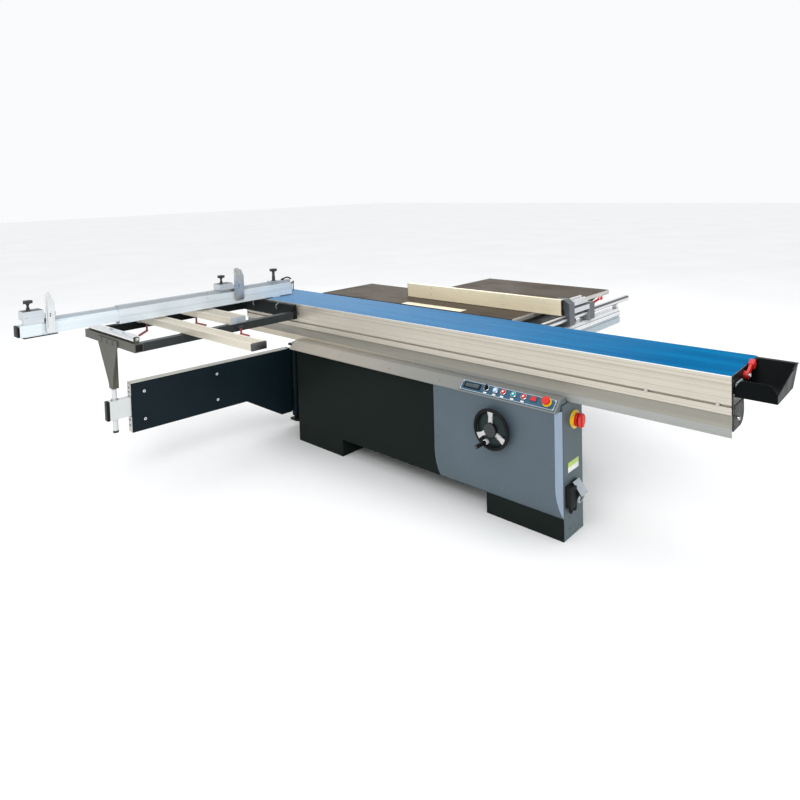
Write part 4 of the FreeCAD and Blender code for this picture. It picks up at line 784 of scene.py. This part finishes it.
# ---- fences and stops
def crosscut_details():
    """Measuring strips, end cap, index lever and pin of the cross-cut fence."""
    body = "crosscut_fence"
    lo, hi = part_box("crosscut_fence")
    face, rib = hi.x, 0.972
    strip = scale_strip("fence_scale", 1, lo.y, (0.72, 0.74, 0.74), (0.03, 0.03, 0.03))
    block("fence_scale_strip", (face - 17 * MM, lo.y + 4 * MM, 0.9499),
        (face - 4 * MM, hi.y - 4 * MM, 0.9508), 0.3, body, "fence_aluminium", strip)
    block("fence_rib_strip", (face - 33 * MM, lo.y + 4 * MM, rib - 4 * MM),
        (face - 28 * MM, hi.y - 4 * MM, rib - MM), 0.5, body, "belt_rubber", "pale_grey_plastic")
    outline = [(face - 59 * MM, lo.z + 5 * MM), (face - MM, lo.z + 5 * MM), (face - MM, 0.9495),
        (face - 21 * MM, 0.9495), (face - 21 * MM, rib - MM), (face - 59 * MM, rib - MM)]
    prism("fence_end_cap", outline, 1, hi.y - MM, hi.y + 5 * MM, 1.2, body, "fence_aluminium",
        "pale_grey_plastic")
    spots = [(face - 40 * MM, hi.y + 5 * MM, z) for z in (0.895, 0.955)]
    fasteners("fence_cap_screws", button_head(4, 2.4), spots, Y, body)
    y = hi.y - 16 * MM
    points = [(face - 34 * MM, y - 40 * MM, rib + 6 * MM), (face - 30 * MM, y - 18 * MM, rib + 15 * MM),
        (face - 24 * MM, y + 4 * MM, rib + 17 * MM), (face - 20 * MM, y + 26 * MM, rib + 3 * MM)]
    bent_rod("fence_index_lever", points, 5, body, "black_plastic")
    turned("fence_index_boss", [(10, -2), (10, 8), (7, 11)], (face - 34 * MM, y - 38 * MM, rib), Z, body,
        "black_plastic")
    turned("fence_index_pin", [(3, -60), (3.4, -56), (3.4, 0), (6, 1), (6, 9), (4, 11)],
        (face + 2 * MM, hi.y + 12 * MM, 0.950), Z, body, "bright_steel", "dark_steel")
    block("fence_pin_arm", (face - 22 * MM, hi.y - 6 * MM, 0.944), (face + 6 * MM, hi.y + 17 * MM, 0.951), 2,
        body, "bright_steel", "dark_steel")
    knob = joint_point("swivel_knob_turn")
    turned("swivel_collar", [(16, 0), (16, 3), (11, 6), (11, 30), (10, 32)],
        (knob.x, knob.y, high("crosscut_fence").z + 0.2 * MM), Z, "crosscut_fence", "black_plastic",
        "knob_plastic")
    e_lo, e_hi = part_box("fence_extension")
    block("extension_cap", (e_lo.x + 2 * MM, e_lo.y - 4 * MM, 0.890), (e_hi.x - 2 * MM, e_lo.y + 9 * MM,
        0.947), 3, "fence_extension", "black_plastic")
    block("extension_wear_strip", (e_hi.x - 58 * MM, e_lo.y + 22 * MM, e_lo.z - 2 * MM),
        (e_hi.x, e_lo.y + 184 * MM, e_lo.z + 4 * MM), 1.2, "fence_extension", "black_plastic")


def stop_details(index):
    """Stop: hinge nuts, clamping screws, label plate and a grip rib on the blade."""
    slider, blade = f"stop_slider_{index}", f"stop_blade_{index}"
    hinge = joint_point(f"stop_{index}_flip")
    lo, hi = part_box(blade)
    ends = [((hinge.x, lo.y - 6.5 * MM, hinge.z), -Y), ((hinge.x, hi.y + 6.5 * MM, hinge.z), Y)]
    for side, (place, way) in zip(("left", "right"), ends):
        turned(f"stop_{index}_hinge_nut_{side}", hex_nut(6, 4), place, way, slider, "bright_steel", None, 24)
    face = hi.x
    block(f"stop_{index}_blade_rib", (face - 0.5 * MM, lo.y + 5 * MM, lo.z + 26 * MM),
        (face + 2 * MM, lo.y + 9 * MM, hi.z - 30 * MM), 0.9, blade, "bright_steel")
    spots = [(face, (lo.y + hi.y) / 2, z) for z in (hinge.z - 5 * MM, hinge.z + 6 * MM)]
    fasteners(f"stop_{index}_blade_screws", button_head(4, 2.4), spots, X, blade)
    s_lo, s_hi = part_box(slider)
    knob = joint_point(f"stop_{index}_knob_turn")
    turned(f"stop_{index}_knob_seat", [(15, -1), (15, 2), (9, 6), (8.5, 16)], (knob.x, knob.y, s_hi.z), Z,
        slider, "black_plastic", "knob_plastic")
    block(f"stop_{index}_top_plate", (s_lo.x + 3 * MM, s_lo.y + 3 * MM, s_hi.z - 0.5 * MM),
        (knob.x + 33 * MM, s_lo.y + 93 * MM, s_hi.z + 1.5 * MM), 1.0, slider, "black_plastic", "dark_steel")


def rip_fence_details():
    """Measuring strip on the bar's rail, fence end caps, and the carrier's bright bars."""
    lo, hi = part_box("rip_fence")
    rail_lo, rail_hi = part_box("fence_rail")
    strip = scale_strip("rail_scale", 1, rail_lo.y, (0.74, 0.75, 0.76), (0.40, 0.41, 0.42))
    block("rail_scale_strip", (rail_hi.x - 0.6 * MM, rail_lo.y + 6 * MM, 0.7585),
        (rail_hi.x + 0.6 * MM, rail_lo.y + 0.912, 0.7775), 0.3, "base", "rail_aluminium", strip)
    for name, first, second in (("far", lo.x - 4 * MM, lo.x + MM), ("near", hi.x - MM, hi.x + 4 * MM)):
        block(f"rip_fence_cap_{name}", (first, lo.y + MM, lo.z + 2 * MM), (second, hi.y - 7 * MM, hi.z - MM),
            1.4, "rip_fence", "black_plastic")
    c_lo, c_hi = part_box("fence_carrier")
    for index, (x, z) in enumerate(((-1.060, 0.940), (-1.036, 0.934), (-1.070, 0.900)), 1):
        turned(f"carrier_bar_{index}", [(6, 0), (8, 2), (8, 158), (6, 160)],
            (x + 1.5435, c_lo.y + 58 * MM, z), Y, "fence_carrier", "bright_steel", "bright_bar")
    spots = [(x, c_lo.y, z) for x in (c_lo.x + 20 * MM, c_lo.x + 50 * MM) for z in (c_hi.z - 20 * MM,)]
    fasteners("carrier_screws", cap_head(6, 5), spots, -Y, "fence_carrier", "bright_steel")
    k_hi = high("carrier_lever")
    turned("lever_ball_band", [(12, -2), (13.6, -1), (13.6, 2), (12, 3)],
        (k_hi.x - 13 * MM, middle("carrier_lever").y, k_hi.z - 13 * MM), X, "carrier_lever", "red_plastic",
        "white_plastic")
    bar_lo, bar_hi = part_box("fence_bar")
    center = middle("fence_bar")
    for name, y, way in (("near", bar_lo.y, -Y), ("far", bar_hi.y, Y)):
        turned(f"bar_end_{name}", cap_head(9, 4), (center.x, y, center.z), way, "base", "bright_steel",
            "dark_steel")


def table_details():
    """Aluminium edge strips, the insert plate beside the blade and its screws."""
    lo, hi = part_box("main_table")
    e_lo, e_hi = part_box("extension_table")
    top = hi.z
    block("main_table_edge_strip", (hi.x - MM, lo.y + 2 * MM, top - 26 * MM),
        (hi.x + 4 * MM, hi.y, top - 0.5 * MM), 1, "base", "rail_aluminium", "edge_lines")
    block("extension_edge_strip", (e_hi.x - MM, e_lo.y + MM, top - 24 * MM),
        (e_hi.x + 4 * MM, e_hi.y, top - 0.5 * MM), 1, "base", "rail_aluminium", "edge_lines")
    block("extension_far_strip", (e_lo.x, e_hi.y - MM, top - 24 * MM),
        (e_hi.x, e_hi.y + 4 * MM, top - 0.5 * MM), 1, "base", "rail_aluminium", "rip_lines")
    blade = joint_point("blade_spin")
    left, right = blade.x - 0.165, blade.x + 0.305
    block("blade_insert", (left, lo.y + 9 * MM, top - 0.6 * MM), (right, lo.y + 0.075, top + 0.6 * MM), 0.5,
        "base", "profile_aluminium", "rip_lines")
    spots = [(x, lo.y + 0.060, top + 0.5 * MM) for x in (left + 0.02, (left + right) / 2, right - 0.02)]
    fasteners("insert_screws", button_head(5, 0.8), spots, Z)


# ---- base, cover and console
def base_details():
    """Panel screws, levelling feet, rear vents, cabinet door trim and the blank label."""
    p_lo, p_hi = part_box("front_panel")
    cover_lo, cover_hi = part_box("front_cover")
    front = p_lo.y
    spots = [(x, front, z) for x in (p_lo.x + 0.03, p_lo.x + 0.42, cover_lo.x - 0.12)
        for z in (p_hi.z - 0.03, 0.33)] + [(p_lo.x + 0.03, front, 0.05), (p_lo.x + 0.38, front, 0.05)]
    fasteners("front_panel_screws", button_head(5, 2.5), spots, -Y, look="black_paint")
    b_lo, b_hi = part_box("base_frame")
    for index, (x, y) in enumerate(((b_lo.x + 0.05, 0.0), (b_lo.x + 0.05, b_hi.y - 0.05),
            (b_hi.x - 0.05, 0.34), (b_hi.x - 0.05, b_hi.y - 0.05)), 1):
        turned(f"foot_nut_{index}", hex_nut(13, 10), (x, y, 8 * MM), Z, "base", "bright_steel", "dark_steel")
    blocks("rear_louvres", [((b_lo.x + 0.55, b_hi.y - MM, z), (b_lo.x + 0.95, b_hi.y + 6 * MM, z + 12 * MM))
        for z in [0.24 + 0.03 * step for step in range(9)]], 3, "base", "black_paint")
    spots = [(x, b_hi.y, z) for x in (b_lo.x + 0.06, b_lo.x + 0.5, b_lo.x + 1.0, b_hi.x - 0.06)
        for z in (0.15, 0.62)]
    fasteners("rear_panel_screws", button_head(6, 3), spots, Y, look="bright_steel")
    c_lo, c_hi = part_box("switch_cabinet")
    x = c_hi.x
    label_y, label_z = (-0.046, 0.052), (0.301, 0.347)
    band = two_tone("label_print", (0.42, 0.62, 0.10), (0.80, 0.81, 0.78),
        lambda shade: within(shade, 2, label_z[1] - 0.022, label_z[1] + 0.01), (0.35, 0.35))
    block("blank_label", (x - 0.2 * MM, label_y[0], label_z[0]), (x + 0.8 * MM, label_y[1], label_z[1]), 0.4,
        "base", "hood_paint", band)
    turned("cabinet_lock", [(11, 0), (11, 2), (9, 4), (4, 4, 4), (4, 1.5, 4)], (c_lo.x + 0.21, c_hi.y, 0.33),
        Y, "base", "bright_steel", "chrome")
    for index, z in enumerate((0.12, 0.52), 1):
        block(f"cabinet_hinge_{index}", (c_lo.x + 0.01, c_hi.y - MM, z),
            (c_lo.x + 0.035, c_hi.y + 6 * MM, z + 0.06), 2.5, "base", "black_plastic")
    block("cabinet_door", (c_lo.x + 0.012, c_hi.y - MM, 0.03), (c_hi.x - 0.012, c_hi.y + 2 * MM, 0.60), 1.5,
        "base", "cabinet_paint")
    spots = [(x, cover_lo.y + 0.6 * MM, z) for x in (cover_lo.x + 0.025, cover_hi.x - 0.035)
        for z in (cover_hi.z - 0.025, 0.33)]
    fasteners("cover_screws", button_head(4.5, 2.2), spots, -Y, look="cover_paint")


def console_frame():
    """Matrix that lays a flat console drawing (X along, Y up the slope, Z outwards) in place."""
    normal = -Vector(JOINTS["estop_press"]["axis"])
    up = normal.cross(X).normalized()
    origin = joint_point("rocker_tip")
    return Matrix.Translation(Vector((0, origin.y, origin.z)) - normal * 7 * MM) @ Matrix(
        ((1, up.x, normal.x, 0), (0, up.y, normal.y, 0), (0, up.z, normal.z, 0), (0, 0, 0, 1)))


def console_details():
    """Digital display, button rims, legend plates, foil edging and screws on the slope."""
    lay = console_frame()
    lo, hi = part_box("console_plate")
    plate = 3.0 * MM
    left, right = lo.x, hi.x
    block("display_bezel", (left + 0.020, -19 * MM, plate - 0.5 * MM),
        (left + 0.118, 12 * MM, plate + 4 * MM), 1.6, "base", "black_plastic", None, lay)
    block("display_window", (left + 0.030, -13 * MM, plate + 3.2 * MM),
        (left + 0.108, 6 * MM, plate + 4.6 * MM), 0.6, "base", "console_foil", "display", lay)
    strips = ((left + 3 * MM, right - 3 * MM, -31 * MM, -29.4 * MM), (left + 3 * MM, right - 3 * MM,
        18.4 * MM, 20 * MM), (left + 3 * MM, left + 5 * MM, -31 * MM, 20 * MM),
        (right - 5 * MM, right - 3 * MM, -31 * MM, 20 * MM))
    blocks("console_edging", [((x0, y0, plate - 0.2 * MM), (x1, y1, plate + 0.5 * MM))
        for x0, x1, y0, y1 in strips], 0.2, "base", "hood_paint", "white_plastic", lay)
    names = ("selector_knob", "push_button_1", "push_button_2", "push_button_3", "push_button_4")
    bm = bmesh.new()
    for name in names:
        x = middle(name).x
        add_turned(bm, [(14.9, 3.6), (14.9, 4.6), (13.4, 5.3), (12.0, 4.7), (12.0, 3.6)],
            lay @ Vector((x, 0, plate)), lay.to_3x3() @ Z, 32, 0.0, True)
    finish_mesh("button_rims", bm, "base", "bright_steel", "chrome")
    blocks("legend_plates", [((x - 9 * MM, -27 * MM, plate - 0.2 * MM), (x + 9 * MM, -19 * MM,
        plate + 0.4 * MM)) for x in (middle(name).x for name in names)], 0.2, "base", "hood_paint",
        "white_plastic", lay)
    for index, name in enumerate(names[1:], 1):
        center = lay @ Vector((middle(name).x, 0, plate + 3.4 * MM + 6.8 * MM))
        turned(f"button_cap_{index}", [(4.6, 0), (4.6, 0.35), (4.0, 0.6)], center, lay.to_3x3() @ Z, name,
            "blue_white_plastic", "white_plastic")
    spots = [lay @ Vector((x, y, plate)) for x in (left + 9 * MM, right - 9 * MM)
        for y in (-25 * MM, 14 * MM)]
    fasteners("console_screws", button_head(3.6, 2), spots, lay.to_3x3() @ Z, look="bright_steel")


def side_control_details():
    """Isolator's screws and hub, the inlet's lid skin, collar and gland nuts."""
    plate_x = high("switch_cabinet").x + 6 * MM
    knob = joint_point("isolator_turn")
    spots = [(plate_x, knob.y + dy, knob.z + dz) for dy in (-25 * MM, 25 * MM) for dz in (-25 * MM, 25 * MM)]
    fasteners("isolator_screws", button_head(3.5, 2.4), spots, X, look="bright_steel")
    turned("isolator_hub", [(33, 0), (33, 3), (31.5, 5), (12, 5.5)], (knob.x + 12 * MM, knob.y, knob.z), X,
        "isolator_knob", "red_plastic", None, 48)
    lo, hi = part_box("power_inlet")
    x = lo.x
    outline = [(x + 10 * MM, 0.2545), (x + 16 * MM, 0.2595), (x + 60 * MM, 0.205), (x + 57.5 * MM, 0.2035),
        (x + 15.5 * MM, 0.2570), (x + 10.5 * MM, 0.2525)]
    prism("inlet_lid", outline, 1, lo.y + 45 * MM, lo.y + 103 * MM, 0, "base", "bright_steel",
        "pale_grey_plastic")
    turned("inlet_collar", [(24, 0), (27, 1), (27, 7), (24.5, 9), (20, 9), (19.5, 3)],
        (x + 36 * MM, lo.y + 73 * MM, 0.1862), Vector((1, 0, -0.35)).normalized(), "base", "bright_steel",
        "pale_grey_plastic")
    bm = bmesh.new()
    for y in (lo.y + 22 * MM, lo.y + 58 * MM):
        add_turned(bm, [(11.5, 0, 6), (11.5, 8, 6), (9.5, 10)], Vector((x + 15 * MM, y, 0.134)), Z)
    finish_mesh("gland_nuts", bm, "base", "black_plastic")
    spots = [(x + 12 * MM, y, z) for y in (hi.y - 5 * MM,) for z in (0.158, 0.238)]
    fasteners("inlet_screws", button_head(3.2, 2), spots, X)


def handwheel_details():
    """Dished centre, hub cap, spoke webs and the escutcheon on the cover."""
    body = "handwheel"
    face = low("front_cover").y
    turned("wheel_escutcheon", [(46, 0), (46, 2), (40, 5), (19, 6)], (wheel.x, face + 0.5 * MM, wheel.z), -Y,
        "base", "black_plastic", None, 64)
    turned("wheel_dish", [(88, -2), (88, 2), (60, 9), (33, 12), (33, 8)],
        (wheel.x, wheel.y + 14 * MM, wheel.z), -Y, body, "black_plastic", "wheel_dish", 64)
    turned("wheel_hub_cap", [(32, 0), (32, 3), (28, 7), (12, 8), (10, 6.5)],
        (wheel.x, wheel.y - 11.5 * MM, wheel.z), -Y, body, "black_plastic", "knob_plastic", 48)
    bm = bmesh.new()
    for turn in (0, 120, 240):
        spin = Matrix.Translation(wheel) @ Matrix.Rotation(math.radians(turn), 4, "Y")
        outline = [(-12, 30), (12, 30), (10, 60), (16, 86), (-16, 86), (-10, 60)]
        add_prism(bm, outline, lambda u, v, along: spin @ (Vector((u, along, v)) * MM), -7, -4)
    bmesh.ops.recalc_face_normals(bm, faces=bm.faces)
    rounded(bm, list(bm.edges), 0.8)
    finish_mesh("wheel_spoke_faces", bm, body, "bright_steel")
    grip = joint_point("handle_spin")
    turned("grip_end_cap", [(7.5, 0), (7, 2), (4, 3)], (grip.x,
        low("handwheel_handle").y + 0.5 * MM, grip.z), -Y, "handwheel_handle", "bright_steel", "dark_steel")


def hood_details():
    """Screws along the slope of the hood, which is made in two lengths."""
    lay = console_frame()
    lo = low("cover_hood")
    spots = [lay @ Vector((x, -14 * MM, 0.0)) for x in (lo.x + 0.06, lo.x + 0.46, lo.x + 0.86, lo.x + 1.22)]
    fasteners("hood_screws", button_head(5, 2.6), spots, lay.to_3x3() @ Z, look="hood_paint")


# ---- floor, light and camera
def stage():
    """Pale floor, soft boxes and a pale surround."""
    size = 40.0
    bm = bmesh.new()
    corners = [bm.verts.new((x, y, 0)) for x, y in ((-size, -size), (size, -size), (size, size),
        (-size, size))]
    bm.faces.new(corners)
    mesh = new_mesh("floor", bm)
    floor = new_object("floor", mesh)
    shade = Shade("floor", (0.93, 0.93, 0.93), 0.75)
    clouds = shade.noise(0.8, 3.0)
    shade.color(shade.layer((0.90, 0.90, 0.90), (0.94, 0.94, 0.94), clouds, 0.3, 0.7))
    mesh.materials.append(shade.material)

    world = bpy.data.worlds.new("surround")
    bpy.context.scene.world = world
    world.use_nodes = True
    world.node_tree.nodes["Background"].inputs["Color"].default_value = (0.97, 0.985, 1.0, 1.0)
    world.node_tree.nodes["Background"].inputs["Strength"].default_value = 0.98
    bpy.context.scene.view_settings.view_transform = "Standard"
    for name, place, target, width, power in (("key", (1.5, -4.5, 4.5), (0, 0, 0.5), 3.0, 110.0),
            ("fill", (6.0, 0.5, 3.0), (0.5, 0, 0.6), 3.0, 60.0), ("top", (-1.0, 1.0, 5.5), (-0.4, 0, 0.8),
            4.0, 60.0), ("back", (-4.0, 4.5, 3.0), (0, 0, 0.8), 3.0, 40.0)):
        light = bpy.data.lights.new(name, "AREA")
        light.shape = "RECTANGLE"
        light.size = width
        light.size_y = 0.7 * width
        light.energy = power
        lamp = new_object(name, light)
        lamp.location = place
        lamp.rotation_euler = (Vector(target) - Vector(place)).to_track_quat("-Z", "Y").to_euler()


def camera():
    """Camera at the operator's corner, a little above the table."""
    data = bpy.data.cameras.new("camera")
    data.sensor_width = 36.0
    data.lens = 28.878
    data.shift_x = -0.02165
    data.shift_y = -0.23048
    data.clip_end = 100.0
    yaw, pitch, roll = (math.radians(value) for value in (41.546, -2.762, 1.424))
    turn = Matrix.Rotation(yaw, 3, "Z") @ Matrix.Rotation(pitch, 3, "X") @ Matrix.Rotation(roll, 3, "Y")
    right, forward, up = turn.col[0], turn.col[1], turn.col[2]
    eye = new_object("camera", data)
    matrix = Matrix((right, up, -forward)).transposed().to_4x4()
    matrix.translation = (2.252878, -2.59919, 1.617639)
    eye.matrix_world = matrix
    bpy.context.scene.camera = eye


dress_cad_nodes()
for detail in (carriage_details, beam_details, tray_details, outrigger_details, arm_details,
        crosscut_details):
    detail()
for number in (1, 2):
    stop_details(number)
for detail in (rip_fence_details, table_details, base_details, console_details, side_control_details,
        handwheel_details, hood_details):
    detail()
stage()
camera()
